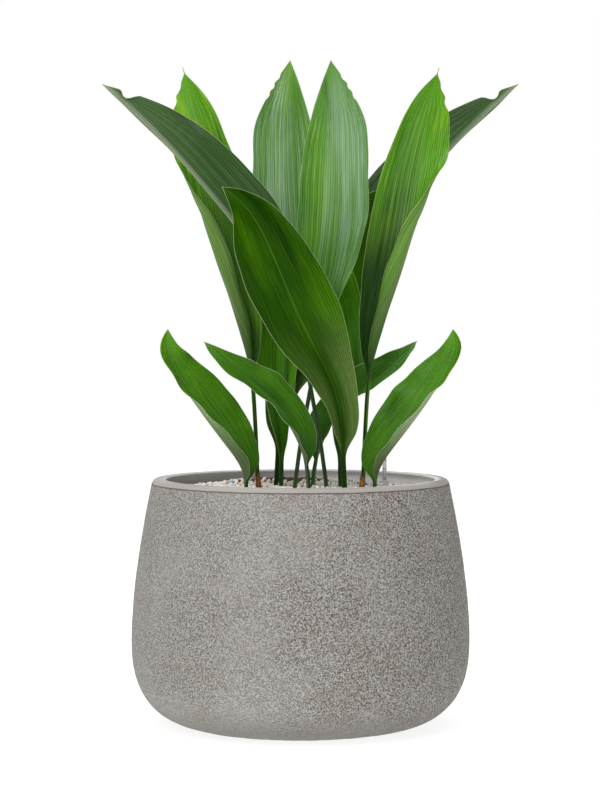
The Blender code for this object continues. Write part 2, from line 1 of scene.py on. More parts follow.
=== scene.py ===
"""Looks of a potted cast iron plant: fourteen leaves in a round fibre-concrete pot with a water gauge.

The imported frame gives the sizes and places. Lengths are metres unless a name ends in _mm, and -Y is
the front.
"""

from __future__ import annotations

import logging
import math
from collections.abc import Sequence
from dataclasses import dataclass, field, replace
from enum import Enum

import bmesh
import bpy
import numpy as np
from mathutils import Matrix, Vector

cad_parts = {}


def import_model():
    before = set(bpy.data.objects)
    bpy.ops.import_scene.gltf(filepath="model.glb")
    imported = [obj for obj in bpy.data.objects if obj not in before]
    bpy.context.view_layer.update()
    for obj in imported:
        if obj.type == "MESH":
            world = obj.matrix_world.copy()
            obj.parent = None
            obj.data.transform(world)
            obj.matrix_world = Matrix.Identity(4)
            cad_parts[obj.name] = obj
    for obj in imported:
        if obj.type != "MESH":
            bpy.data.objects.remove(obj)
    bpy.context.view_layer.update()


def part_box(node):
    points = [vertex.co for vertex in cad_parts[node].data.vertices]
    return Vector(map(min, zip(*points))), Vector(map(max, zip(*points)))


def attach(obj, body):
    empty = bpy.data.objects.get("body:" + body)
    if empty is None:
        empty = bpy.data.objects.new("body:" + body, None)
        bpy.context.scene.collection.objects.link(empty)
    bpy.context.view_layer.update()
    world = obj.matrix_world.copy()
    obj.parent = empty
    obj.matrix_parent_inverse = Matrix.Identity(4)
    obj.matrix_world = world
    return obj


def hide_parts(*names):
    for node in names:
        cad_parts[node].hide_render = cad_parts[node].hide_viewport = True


LOG = logging.getLogger("potted_plant")
MM = 0.001

Array = np.ndarray
Triple = tuple[float, float, float]
Socket = bpy.types.NodeSocket


def paint(red: int, green: int, blue: int) -> tuple[float, float, float, float]:
    """Turn a paint chip's 0 to 255 display values into linear light.

    Args:
        red: Red on the chip.
        green: Green on the chip.
        blue: Blue on the chip.

    Returns:
        Linear RGB with an alpha of 1.
    """
    values = []
    for channel in (red, green, blue):
        share = channel / 255
        values.append(share / 12.92 if share <= 0.04045 else ((share + 0.055) / 1.055) ** 2.4)
    return (*values, 1.0)


# --------------------------------------------------------------------------------------------------
# Curves
# --------------------------------------------------------------------------------------------------


def monotone(stations: Sequence[float], values: Sequence, at: Array) -> Array:
    """Interpolate smoothly through stations without overshoot.

    Args:
        stations: Rising positions.
        values: A number or a vector for each station.
        at: Where to read.

    Returns:
        One value or vector for each entry of at.
    """
    x = np.asarray(stations, float)
    y = np.asarray(values, float)
    flat = y.ndim == 1
    y = y[:, None] if flat else y
    slope = np.diff(y, axis=0) / np.diff(x)[:, None]
    tangent = np.vstack([slope[:1], (slope[:-1] + slope[1:]) / 2, slope[-1:]])
    ends = np.ones_like(slope[:1])
    tangent[np.vstack([ends, slope[:-1] * slope[1:], ends]) <= 0] = 0
    before, after = np.vstack([slope[:1], slope]), np.vstack([slope, slope[-1:]])
    limit = 3 * np.minimum(np.abs(before), np.abs(after))
    tangent = np.clip(tangent, -limit, limit)
    at = np.clip(at, x[0], x[-1])
    cell = np.clip(np.searchsorted(x, at, side="right") - 1, 0, len(x) - 2)
    span = (x[cell + 1] - x[cell])[:, None]
    t = (at - x[cell])[:, None] / span
    read = (1 + 2 * t) * (1 - t) ** 2 * y[cell] + t * (1 - t) ** 2 * span * tangent[cell]
    read += t**2 * (3 - 2 * t) * y[cell + 1] + t**2 * (t - 1) * span * tangent[cell + 1]
    return read[:, 0] if flat else read


def evenly(values: Sequence, at: Array) -> Array:
    """Read values that are spread evenly from 0 to 1.

    Args:
        values: Numbers or vectors.
        at: Shares from 0 to 1.

    Returns:
        One value or vector for each share.
    """
    return monotone(np.linspace(0, 1, len(values)), values, at)


def spline_through(points: Array, shares: Array) -> Array:
    """Run a natural cubic spline through points.

    Args:
        points: The points, in order.
        shares: Shares of its length to read it at.

    Returns:
        One point for each share.
    """
    lengths = np.concatenate([[0], np.cumsum(np.linalg.norm(np.diff(points, axis=0), axis=1))])
    span = np.diff(lengths)
    count = len(points)
    system = np.eye(count)
    right = np.zeros((count, 3))
    for row in range(1, count - 1):
        system[row, row - 1 : row + 2] = (span[row - 1], 2 * (span[row - 1] + span[row]), span[row])
        rise = (points[row + 1] - points[row]) / span[row]
        right[row] = 6 * (rise - (points[row] - points[row - 1]) / span[row - 1])
    bend = np.linalg.solve(system, right)

    def read(where: Array) -> Array:
        """Evaluate the cubic.

        Args:
            where: Distances along the chords.

        Returns:
            One point for each distance.
        """
        cell = np.clip(np.searchsorted(lengths, where, side="right") - 1, 0, count - 2)
        width = span[cell][:, None]
        a = (lengths[cell + 1] - where)[:, None] / width
        b = 1 - a
        cubic = ((a**3 - a) * bend[cell] + (b**3 - b) * bend[cell + 1]) * width**2 / 6
        return a * points[cell] + b * points[cell + 1] + cubic

    fine = read(np.linspace(0, lengths[-1], 600))
    along = np.concatenate([[0], np.cumsum(np.linalg.norm(np.diff(fine, axis=0), axis=1))])
    places = np.asarray(shares) * along[-1]
    return np.stack([np.interp(places, along, fine[:, axis]) for axis in range(3)], axis=1)


def waves(seed: int, along: Array, across: Array, scale: float, count: int = 5) -> Array:
    """Sum a few seeded sine waves into a soft irregular field.

    Args:
        seed: Seed of the waves.
        along: First coordinate.
        across: Second coordinate.
        scale: Highest number of cycles per unit.
        count: How many waves are summed.

    Returns:
        Values of about -1 to 1, shaped like the coordinates together.
    """
    random = np.random.default_rng(seed)
    total = np.zeros(np.broadcast(along, across).shape)
    for _ in range(count):
        cycles = random.uniform(0.35, 1.0, 2) * scale * math.tau
        phase = random.uniform(0, math.tau)
        total = total + np.sin(cycles[0] * along + cycles[1] * across * random.choice([-1, 1]) + phase)
    return total / math.sqrt(count) / 1.3


# --------------------------------------------------------------------------------------------------
# Meshes and objects
# --------------------------------------------------------------------------------------------------


def add_object(name: str, mesh: bmesh.types.BMesh, *materials: bpy.types.Material) -> bpy.types.Object:
    """Turn a bmesh into a smooth object at the origin.

    Args:
        name: Piece name.
        mesh: The mesh, which is freed.
        *materials: Its material slots.

    Returns:
        The object, linked to the scene.
    """
    data = bpy.data.meshes.new(name)
    mesh.to_mesh(data)
    mesh.free()
    data.shade_smooth()
    for material in materials:
        data.materials.append(material)
    obj = bpy.data.objects.new(name, data)
    bpy.context.scene.collection.objects.link(obj)
    return obj


def skin_rings(rings: Array, close: bool = True, thin: bool = False) -> bmesh.types.BMesh:
    """Skin a stack of closed rings.

    Args:
        rings: Rings x points x 3.
        close: Whether both ends get a cap.
        thin: Whether the rings run along the upper side of a thin skin and back along its lower one. Its
            faces are then cut along matching diagonals, so that a twist keeps its thickness.

    Returns:
        The mesh, with faces pointing out.
    """
    mesh = bmesh.new()
    made = [[mesh.verts.new(point) for point in ring] for ring in rings]
    for lower, upper in zip(made, made[1:]):
        for index, corner in enumerate(lower):
            after = (index + 1) % len(lower)
            if not thin:
                mesh.faces.new((corner, lower[after], upper[after], upper[index]))
            elif index < len(lower) // 2:
                mesh.faces.new((corner, lower[after], upper[after]))
                mesh.faces.new((corner, upper[after], upper[index]))
            else:
                mesh.faces.new((corner, lower[after], upper[index]))
                mesh.faces.new((lower[after], upper[after], upper[index]))
    if close:
        mesh.faces.new(made[0][::-1])
        mesh.faces.new(made[-1])
    bmesh.ops.recalc_face_normals(mesh, faces=mesh.faces)
    return mesh


def turned(
    profile: Sequence[tuple[float, float]], centre: tuple[float, float], around: int
) -> bmesh.types.BMesh:
    """Turn a profile about a vertical axis.

    Args:
        profile: (radius, height) points; a loop unless it starts and ends on the axis.
        centre: The axis, as x and y.
        around: Steps in a full turn.

    Returns:
        A closed mesh, with faces pointing out.
    """
    mesh = bmesh.new()
    rings = []
    for radius, height in profile:
        if radius == 0:
            rings.append([mesh.verts.new((*centre, height))])
            continue
        angles = [math.tau * step / around for step in range(around)]
        ring = [(centre[0] + radius * math.cos(a), centre[1] + radius * math.sin(a), height) for a in angles]
        rings.append([mesh.verts.new(point) for point in ring])
    pairs = list(zip(rings, rings[1:]))
    if len(rings[0]) > 1:
        pairs.append((rings[-1], rings[0]))
    for first, second in pairs:
        for index in range(around):
            after = (index + 1) % around
            corners = [first[index % len(first)], first[after % len(first)]]
            corners += [second[after % len(second)], second[index % len(second)]]
            mesh.faces.new(list(dict.fromkeys(corners)))
    bmesh.ops.recalc_face_normals(mesh, faces=mesh.faces)
    return mesh


# --------------------------------------------------------------------------------------------------
# Node helpers
# --------------------------------------------------------------------------------------------------


class Wiring:
    """A small writer for shader and geometry node trees."""

    def __init__(self, tree: bpy.types.NodeTree) -> None:
        """Take the tree to write in."""
        self.tree = tree

    def node(self, kind: str, settings: dict | None = None, **inputs: object) -> bpy.types.Node:
        """Add a node.

        Args:
            kind: The node's type name.
            settings: Its own properties.
            **inputs: Values or sockets by input name, with _ for a space, or by index as i0, i1.

        Returns:
            The node.
        """
        made = self.tree.nodes.new(kind)
        for key, value in (settings or {}).items():
            setattr(made, key, value)
        for key, value in inputs.items():
            by_index = key[0] == "i" and key[1:].isdigit()
            socket = made.inputs[int(key[1:])] if by_index else made.inputs[key.replace("_", " ")]
            self.feed(socket, value)
        return made

    def feed(self, socket: Socket, value: object) -> None:
        """Link a socket to another, or set its value.

        Args:
            socket: The input socket.
            value: A socket, a node whose first output is meant, or a plain value.
        """
        if isinstance(value, bpy.types.NodeSocket):
            self.tree.links.new(value, socket)
        elif isinstance(value, bpy.types.Node):
            self.tree.links.new(value.outputs[0], socket)
        else:
            socket.default_value = value

    def math(self, operation: str, *values: object, clamp: bool = False) -> Socket:
        """Add a Math node.

        Args:
            operation: The node's operation.
            *values: Its inputs, as sockets or numbers.
            clamp: Whether the result is kept from 0 to 1.

        Returns:
            The result.
        """
        made = self.tree.nodes.new("ShaderNodeMath")
        made.operation = operation
        made.use_clamp = clamp
        for index, value in enumerate(values):
            self.feed(made.inputs[index], value)
        return made.outputs[0]

    def times(self, first: object, second: object, clamp: bool = False) -> Socket:
        """Multiply two numbers."""
        return self.math("MULTIPLY", first, second, clamp=clamp)

    def plus(self, first: object, second: object) -> Socket:
        """Add two numbers."""
        return self.math("ADD", first, second)

    def less(self, first: object, second: object) -> Socket:
        """Take the second number from the first."""
        return self.math("SUBTRACT", first, second)

    def rest(self, value: object) -> Socket:
        """Return what is left of 1."""
        return self.math("SUBTRACT", 1.0, value)

    def scaled(self, value: object, by: object, above: object) -> Socket:
        """Multiply a number and add another to it."""
        return self.math("MULTIPLY_ADD", value, by, above)

    def mix(self, factor: object, first: object, second: object) -> Socket:
        """Mix two colours.

        Args:
            factor: Share of the second colour.
            first: The first colour.
            second: The second colour.

        Returns:
            The mixed colour.
        """
        made = self.tree.nodes.new("ShaderNodeMix")
        made.data_type = "RGBA"
        for index, value in ((0, factor), (6, first), (7, second)):
            self.feed(made.inputs[index], value)
        return made.outputs[2]

    def step(self, value: object, low: float, high: float) -> Socket:
        """Rise smoothly from 0 to 1 between two limits.

        Args:
            value: The number to compare with the limits.
            low: Where the rise starts; above high, it is a fall from 1 to 0.
            high: Where it ends.

        Returns:
            The share from 0 to 1.
        """
        made = self.node("ShaderNodeMapRange", {"interpolation_type": "SMOOTHSTEP"}, Value=value)
        made.inputs["From Min"].default_value = low
        made.inputs["From Max"].default_value = high
        return made.outputs["Result"]

    def noise(self, vector: object, scale: float, detail: float = 3.0, distortion: float = 0.0) -> Socket:
        """Add a noise texture.

        Args:
            vector: Where it is read.
            scale: Cells per unit.
            detail: Octaves of finer noise.
            distortion: How far the cells are drawn into worms.

        Returns:
            Its value, about 0.5 on average.
        """
        made = self.node("ShaderNodeTexNoise", None, Vector=vector, Scale=scale, Detail=detail)
        made.inputs["Distortion"].default_value = distortion
        return made.outputs["Fac"]

    def attribute(self, name: str) -> Socket:
        """Read a number stored on the mesh."""
        return self.node("ShaderNodeAttribute", {"attribute_name": name}).outputs["Fac"]

    def spot(self) -> Socket:
        """Read the place on the object."""
        return self.node("ShaderNodeTexCoord").outputs["Object"]

    def vector(self, x: object, y: object, z: object) -> Socket:
        """Combine three numbers."""
        return self.node("ShaderNodeCombineXYZ", None, X=x, Y=y, Z=z).outputs[0]


def new_group(
    name: str, kind: str, inputs: dict[str, tuple[str, object]], outputs: dict[str, str]
) -> bpy.types.NodeTree:
    """Make a node group with named sockets.

    Args:
        name: Group name.
        kind: ShaderNodeTree or GeometryNodeTree.
        inputs: Socket type and default by name.
        outputs: Socket type by name.

    Returns:
        The empty group, holding its input and output nodes.
    """
    tree = bpy.data.node_groups.new(name, kind)
    for label, (socket_type, default) in inputs.items():
        socket = tree.interface.new_socket(name=label, in_out="INPUT", socket_type=socket_type)
        if default is not None:
            socket.default_value = default
    for label, socket_type in outputs.items():
        tree.interface.new_socket(name=label, in_out="OUTPUT", socket_type=socket_type)
    tree.nodes.new("NodeGroupInput").name = "in"
    tree.nodes.new("NodeGroupOutput").name = "out"
    return tree


FLOAT = "NodeSocketFloat"
COLOUR = "NodeSocketColor"
GEOMETRY = "NodeSocketGeometry"
MATERIAL = "NodeSocketMaterial"
INTEGER = "NodeSocketInt"


def start_material(name: str) -> tuple[bpy.types.Material, Wiring, bpy.types.Node]:
    """Make a material with only a Principled BSDF.

    Args:
        name: Material name.

    Returns:
        The material, a writer for its tree, and its shader.
    """
    material = bpy.data.materials.new(name)
    material.use_nodes = True
    return material, Wiring(material.node_tree), material.node_tree.nodes["Principled BSDF"]


def bump(
    wiring: Wiring, shader: bpy.types.Node, height: object, distance: float, strength: float
) -> None:
    """Feed a height in units of distance to the shader's normal."""
    made = wiring.node("ShaderNodeBump", None, Height=height, Distance=distance, Strength=strength)
    wiring.feed(shader.inputs["Normal"], made.outputs["Normal"])


class GeometryTree:
    """A Geometry Nodes modifier that is turned into a plain mesh."""

    def __init__(self, tree: bpy.types.NodeTree) -> None:
        """Take the finished tree."""
        self.tree = tree

    def make(self, name: str, source: bpy.types.Object, values: dict[str, object]) -> bpy.types.Object:
        """Run the tree on a source object.

        Args:
            name: Name of the new piece.
            source: The object that gives the input geometry, which is removed.
            values: Values of the tree's named inputs.

        Returns:
            A plain mesh object.
        """
        modifier = source.modifiers.new("make", "NODES")
        modifier.node_group = self.tree
        for item in self.tree.interface.items_tree:
            if item.item_type == "SOCKET" and item.in_out == "INPUT" and item.name in values:
                modifier[item.identifier] = values[item.name]
        graph = bpy.context.evaluated_depsgraph_get()
        graph.update()
        data = bpy.data.meshes.new_from_object(source.evaluated_get(graph), depsgraph=graph)
        data.name = name
        bpy.data.objects.remove(source, do_unlink=True)
        obj = bpy.data.objects.new(name, data)
        bpy.context.scene.collection.objects.link(obj)
        return obj


# --------------------------------------------------------------------------------------------------
# Finishes
# --------------------------------------------------------------------------------------------------


BLADE_CHIPS = ("body", "streak", "shade", "glow", "under", "margin", "stalk")
BLADE_NUMBERS = (
    "streaks", "glows", "veins", "shadow_left", "shadow_right", "shadow_base", "roughness", "rib_band_mm",
    "pale_left", "pale_right", "sheen_side",
)


@dataclass(frozen=True)
class LeafFinish:
    """The glossy, parallel-veined green of one leaf, with a painted sheen, painted shade and a painted pale
    reflection low on its halves.
    """

    body: tuple[int, int, int] = (62, 106, 32)
    # painted sheen: the pale colour of the lights' reflection, streaked down the middle of the blade
    streak: tuple[int, int, int] = (104, 148, 84)
    shade: tuple[int, int, int] = (24, 60, 8)
    glow: tuple[int, int, int] = (104, 150, 36)
    under: tuple[int, int, int] = (116, 142, 84)
    margin: tuple[int, int, int] = (176, 188, 140)
    stalk: tuple[int, int, int] = (34, 62, 16)
    streaks: float = 0.30  # how much of the middle of the blade the painted pale sheen takes
    glows: float = 0.5  # how much the yellow-green patches show
    shadow_left: float = 0.0  # how far each half falls into the shade colour
    shadow_right: float = 0.0
    shadow_base: float = 0.6
    pale_left: float = 0.0  # painted reflection: how far the lower part of each half turns as pale as the underside
    pale_right: float = 0.0
    veins: float = 0.66
    rib_band_mm: float = 1.0  # width of a pale band beside the midrib
    sheen_side: float = 0.0  # where the sheen is strongest, from -1 at the left margin to 1 at the right
    roughness: float = 0.34
    specular: float = 0.30

    def material(self, name: str, seed: int) -> bpy.types.Material:
        """Build the material.

        Args:
            name: Material name.
            seed: Moves the pattern, so that no two leaves match.

        Returns:
            The material.
        """
        material, wiring, shader = start_material(name)
        blade = wiring.node("ShaderNodeGroup", {"node_tree": blade_pattern()})
        for chip in BLADE_CHIPS:
            blade.inputs[chip.title()].default_value = paint(*getattr(self, chip))
        for number in BLADE_NUMBERS:
            blade.inputs[number.replace("_", " ").title()].default_value = getattr(self, number)
        blade.inputs["Seed"].default_value = seed * 7.31
        wiring.feed(shader.inputs["Base Color"], blade.outputs["Colour"])
        wiring.feed(shader.inputs["Roughness"], blade.outputs["Roughness"])
        shader.inputs["Specular IOR Level"].default_value = self.specular
        bump(wiring, shader, blade.outputs["Height"], 0.0005, 0.5)
        return material


def blade_pattern() -> bpy.types.NodeTree:
    """Build, once, the group that colours a leaf.

    It reads the attributes that the leaf mesh carries: across (-1 left margin to 1 right margin), along
    (0 base to 1 tip of the blade), rib and edge (mm from the midrib and the margin), under and stalk
    (0 or 1).

    Returns:
        The group.
    """
    known = bpy.data.node_groups.get("blade pattern")
    if known:
        return known
    green = (0.1, 0.2, 0.05, 1)
    inputs: dict[str, tuple[str, object]] = {name.title(): (COLOUR, green) for name in BLADE_CHIPS}
    inputs |= {name.replace("_", " ").title(): (FLOAT, 0.0) for name in ("seed", *BLADE_NUMBERS)}
    outputs = {"Colour": COLOUR, "Roughness": FLOAT, "Height": FLOAT}
    tree = new_group("blade pattern", "ShaderNodeTree", inputs, outputs)
    w = Wiring(tree)
    given = tree.nodes["in"].outputs
    across, along = w.attribute("across"), w.attribute("along")
    rib, edge = w.attribute("rib"), w.attribute("edge")
    under, stalk = w.attribute("under"), w.attribute("stalk")
    spot = w.spot()
    half = w.math("ABSOLUTE", across)

    def grain(lanes: float, lengths: float, detail: float) -> Socket:
        """Noise drawn out along the blade."""
        place = w.vector(w.times(lane, lanes), w.times(along, lengths), given["Seed"])
        return w.noise(place, 1.0, detail)

    drift = w.noise(w.vector(across, w.times(along, 2.0), given["Seed"]), 1.6, 1.0)
    right_side = w.step(across, -0.02, 0.02)
    signed = w.times(rib, w.scaled(right_side, 2.0, -1.0))
    lane = w.plus(w.math("DIVIDE", signed, 52.0), w.times(drift, 0.14))
    broad, long_streaks, fine = grain(3.2, 1.6, 3.0), grain(11.0, 1.5, 4.0), grain(40.0, 2.6, 2.0)
    patches = grain(1.5, 2.8, 4.0)

    deep = w.times(w.step(broad, 0.52, 0.72), 0.75)
    colour = w.mix(deep, given["Body"], given["Shade"])
    bright = w.times(w.step(patches, 0.42, 0.70), given["Glows"])
    colour = w.mix(bright, colour, given["Glow"])

    # painted sheen: pale streaks of the highlight colour down the middle of the blade stand in for the
    # lights' reflection
    sheen = w.plus(w.times(long_streaks, 0.32), w.times(fine, 0.26))
    sheen = w.plus(sheen, w.times(broad, 0.42))
    threshold = w.less(0.62, w.times(given["Streaks"], 0.24))
    sheen = w.times(w.less(sheen, threshold), 5.0, clamp=True)
    aside = w.math("ABSOLUTE", w.less(across, given["Sheen Side"]))
    middle = w.rest(w.step(aside, 0.20, 0.90))
    middle = w.times(middle, w.scaled(w.step(patches, 0.36, 0.60), 0.40, 0.65))
    reach = w.times(w.step(along, 0.12, 0.42), w.rest(w.step(along, 0.84, 1.0)))
    sheen = w.times(w.times(sheen, middle), reach)
    colour = w.mix(w.times(sheen, 0.80), colour, given["Streak"])

    left_side = w.rest(right_side)
    side = w.plus(w.times(right_side, given["Shadow Right"]), w.times(left_side, given["Shadow Left"]))
    side = w.times(side, w.rest(w.step(along, 0.32, 0.68)))
    low = w.times(w.rest(w.step(along, 0.0, 0.45)), given["Shadow Base"])
    shadow = w.math("MAXIMUM", side, low)
    colour = w.mix(w.times(shadow, 0.92), colour, given["Shade"])

    # painted reflection: the lower part of each half turns towards the pale underside colour
    low_sheen = w.times(left_side, given["Pale Left"])
    low_sheen = w.plus(low_sheen, w.times(right_side, given["Pale Right"]))
    low_sheen = w.times(low_sheen, w.rest(w.step(along, 0.20, 0.55)))
    low_sheen = w.times(low_sheen, w.step(w.plus(half, w.times(broad, 0.5)), 0.25, 0.95))
    colour = w.mix(low_sheen, colour, given["Under"])

    wave = w.math("SINE", w.times(w.plus(across, w.times(drift, 0.05)), 98.0))
    vein = w.math("POWER", w.scaled(wave, 0.5, 0.5), 1.6)
    rows = w.times(vein, w.step(fine, 0.30, 0.56))
    calm = w.rest(w.step(along, 0.80, 0.97))
    colour = w.mix(w.times(w.times(rows, given["Veins"]), calm), colour, given["Shade"])
    threads = w.times(w.times(w.step(fine, 0.56, 0.68), 0.34), calm)
    threads = w.times(threads, w.rest(shadow))
    colour = w.mix(threads, colour, given["Glow"])

    back = w.mix(w.times(w.step(long_streaks, 0.40, 0.58), 0.45), given["Under"], given["Body"])
    back = w.mix(w.times(vein, 0.42), back, given["Stalk"])
    back = w.mix(w.times(w.step(fine, 0.52, 0.70), 0.40), back, given["Margin"])
    back = w.mix(w.times(low, 0.75), back, given["Shade"])
    colour = w.mix(under, colour, back)

    midrib = w.rest(w.step(rib, 0.4, 1.4))
    midrib = w.times(midrib, w.scaled(under, 0.45, 0.22))
    band = w.math("DIVIDE", rib, given["Rib Band Mm"])
    band = w.times(w.rest(w.step(band, 0.0, 1.0)), w.step(given["Rib Band Mm"], 1.0, 2.0))
    band = w.times(band, w.scaled(long_streaks, 0.8, 0.30))
    midrib = w.math("MAXIMUM", midrib, band)
    colour = w.mix(midrib, colour, given["Under"])
    rim = w.rest(w.step(edge, 0.20, 0.85))
    colour = w.mix(w.times(rim, 0.70), colour, given["Margin"])
    stalk_colour = w.mix(w.step(fine, 0.45, 0.75), given["Stalk"], given["Body"])
    # painted highlight: the stalk turns paler along its flanks, as its lit edges look
    flank = w.times(w.step(half, 0.55, 1.0), 0.45)
    stalk_colour = w.mix(flank, stalk_colour, given["Under"])
    colour = w.mix(stalk, colour, stalk_colour)

    roughness = w.plus(given["Roughness"], w.times(w.less(long_streaks, 0.5), 0.30))
    roughness = w.plus(roughness, w.times(under, 0.16))
    roughness = w.plus(roughness, w.times(stalk, 0.08))
    pores = w.noise(spot, 900.0, 2.0)
    height = w.plus(w.times(vein, -0.45), w.times(fine, 0.8))
    height = w.plus(w.times(height, calm), w.times(pores, 0.10))
    out = tree.nodes["out"].inputs
    for label, value in (("Colour", colour), ("Roughness", roughness), ("Height", height)):
        w.feed(out[label], value)
    return tree


@dataclass(frozen=True)
class ConcreteFinish:
    """Fibre concrete: worm-like pale ridges over brown-grey pits, with a smooth rim and inside; painted light
    shades the inside on the left and lights and glows it on the right, and painted shade darkens the foot and
    the pits towards the right.
    """

    ridge: tuple[int, int, int] = (180, 178, 174)
    pit: tuple[int, int, int] = (88, 80, 70)
    earthy: tuple[int, int, int] = (134, 124, 108)
    smooth: tuple[int, int, int] = (172, 166, 161)
    # painted light: the inside is shaded on the left and lit on the right
    inside_shaded: tuple[int, int, int] = (188, 186, 187)
    inside_lit: tuple[int, int, int] = (250, 248, 250)
    inside_painted_glow: float = 0.22  # painted glow, on the right: light that the pale wall throws back on itself
    line: tuple[int, int, int] = (88, 72, 56)
    cell: float = 620.0  # ridges per metre

    def material(self, rim_height: float) -> bpy.types.Material:
        """Build the material.

        Args:
            rim_height: Height of the rim's top.

        Returns:
            The material.
        """
        material, w, shader = start_material("fibre concrete")
        spot = w.spot()
        parts = w.node("ShaderNodeSeparateXYZ", None, Vector=spot)
        inside = w.attribute("inner")
        waver = w.times(w.less(w.noise(spot, 60.0, 2.0), 0.5), 0.0014)
        level = w.plus(parts.outputs[2], waver)
        rim = w.step(level, rim_height - 0.0060, rim_height - 0.0050)
        plain = w.math("MAXIMUM", rim, inside)

        worms = w.noise(spot, self.cell, 1.2, 0.9)
        fine = w.noise(spot, self.cell * 2.3, 1.0, 0.3)
        soft = w.noise(spot, 9.0, 3.0)
        patch = w.noise(spot, 26.0, 4.0)
        contrast = w.scaled(w.step(soft, 0.35, 0.65), 0.25, 0.75)
        contrast = w.times(contrast, w.scaled(w.step(parts.outputs[2], 0.0, 0.07), 0.35, 0.65))
        # the pits are the concrete's own texture; their strengthening towards the right is painted shade
        contrast = w.times(contrast, w.scaled(w.step(parts.outputs[0], -0.1, 0.2), 0.42, 0.88))
        ridge = w.step(worms, 0.44, 0.56)
        mottled = w.mix(w.times(w.rest(ridge), contrast), paint(*self.ridge), paint(*self.pit))
        mottled = w.mix(w.times(w.step(fine, 0.55, 0.72), 0.35), mottled, paint(*self.pit))
        mottled = w.mix(w.times(w.step(patch, 0.5, 0.78), 0.30), mottled, paint(*self.earthy))
        colour = w.mix(plain, mottled, paint(*self.smooth))
        # painted light: the inside turns from its shaded chip on the left to its lit chip on the right, and
        # glows on the right below the rim
        side = w.step(parts.outputs[0], -0.12, 0.13)
        colour = w.mix(inside, colour, w.mix(side, paint(*self.inside_shaded), paint(*self.inside_lit)))
        w.feed(shader.inputs["Emission Color"], colour)
        glow = w.times(w.step(parts.outputs[2], rim_height - 0.004, rim_height - 0.012), self.inside_painted_glow)
        w.feed(shader.inputs["Emission Strength"], w.times(inside, w.times(side, glow)))
        # painted shade: the foot darkens into the pit colour towards the floor
        foot = w.times(w.step(level, 0.056, 0.010), 0.45)
        colour = w.mix(foot, colour, paint(*self.pit))
        specks = w.step(w.noise(spot, 420.0, 1.0), 0.66, 0.74)
        colour = w.mix(w.times(specks, 0.25), colour, paint(*self.pit))
        groove = w.times(w.step(level, rim_height - 0.0078, rim_height - 0.0064), w.rest(rim))
        groove = w.times(groove, w.rest(inside))
        colour = w.mix(w.times(groove, 0.85), colour, paint(*self.line))
        w.feed(shader.inputs["Base Color"], colour)
        w.feed(shader.inputs["Roughness"], w.scaled(fine, 0.15, 0.72))
        height = w.times(ridge, w.rest(plain))
        height = w.plus(height, w.times(fine, 0.35))
        height = w.less(height, w.times(specks, 0.3))
        bump(w, shader, height, 0.0009, 0.5)
        return material


@dataclass(frozen=True)
class GrainFinish:
    """Mineral granules of one colour family, each grain a little different."""

    name: str
    chips: tuple[tuple[int, int, int], ...]

    def material(self) -> bpy.types.Material:
        """Build the material; each grain takes its chip by the tint stored on it.

        Returns:
            The material.
        """
        material, w, shader = start_material(self.name)
        ramp = w.node("ShaderNodeValToRGB", None, Fac=w.attribute("tint"))
        ramp.color_ramp.interpolation = "CONSTANT"
        elements = ramp.color_ramp.elements
        while len(elements) < len(self.chips):
            elements.new(0.5)
        for index, chip in enumerate(self.chips):
            elements[index].position = index / len(self.chips)
            elements[index].color = paint(*chip)
        spot = w.spot()
        pores = w.noise(spot, 1400.0, 2.0)
        colour = w.mix(w.times(w.step(pores, 0.5, 0.75), 0.22), ramp.outputs["Color"], paint(96, 84, 72))
        w.feed(shader.inputs["Base Color"], colour)
        shader.inputs["Roughness"].default_value = 0.88
        bump(w, shader, pores, 0.0003, 0.5)
        return material


@dataclass(frozen=True)
class CrumblyFinish:
    """A matt two-tone surface, such as soil, bark or dry papery skin."""

    name: str
    light: tuple[int, int, int]
    dark: tuple[int, int, int]
    scale: float
    roughness: float = 0.92
    relief: float = 0.0008

    def material(self) -> bpy.types.Material:
        """Build the material.

        Returns:
            The material.
        """
        material, w, shader = start_material(self.name)
        spot = w.spot()
        crumbs = w.noise(spot, self.scale, 5.0, 0.4)
        colour = w.mix(w.step(crumbs, 0.38, 0.66), paint(*self.dark), paint(*self.light))
        flecks = w.step(w.noise(spot, self.scale * 2.7, 2.0), 0.66, 0.74)
        colour = w.mix(w.times(flecks, 0.4), colour, paint(*self.light))
        w.feed(shader.inputs["Base Color"], colour)
        shader.inputs["Roughness"].default_value = self.roughness
        bump(w, shader, crumbs, self.relief, 0.7)
        return material


class Moulding(Enum):
    """The plastics of the water gauge: name, chip, roughness and how solid it looks."""

    CLEAR = ("clear plastic", (240, 240, 248), 0.14, 0.34)
    GREY = ("grey plastic", (206, 203, 212), 0.34, 1.0)
    WHITE = ("white plastic", (240, 238, 232), 0.38, 1.0)
    RED = ("red plastic", (206, 40, 28), 0.32, 1.0)
    YELLOW = ("yellow print", (236, 164, 40), 0.45, 1.0)

    def material(self) -> bpy.types.Material:
        """Build the material, with a faint cloudiness and moulding grain.

        Returns:
            The material.
        """
        name, chip, roughness, solidity = self.value
        material, w, shader = start_material(name)
        spot = w.spot()
        cloud = w.noise(spot, 320.0, 2.0)
        dull = tuple(int(channel * 0.86) for channel in chip)
        w.feed(shader.inputs["Base Color"], w.mix(w.times(cloud, 0.6), paint(*chip), paint(*dull)))
        w.feed(shader.inputs["Roughness"], w.scaled(cloud, 0.08, roughness))
        shader.inputs["Alpha"].default_value = solidity
        bump(w, shader, w.noise(spot, 1600.0, 1.0), 0.0001, 0.3)
        return material


# --------------------------------------------------------------------------------------------------
# Leaves
# --------------------------------------------------------------------------------------------------

WIDTH_STATIONS = (0.0, 0.10, 0.25, 0.50, 0.75, 0.92, 1.0)


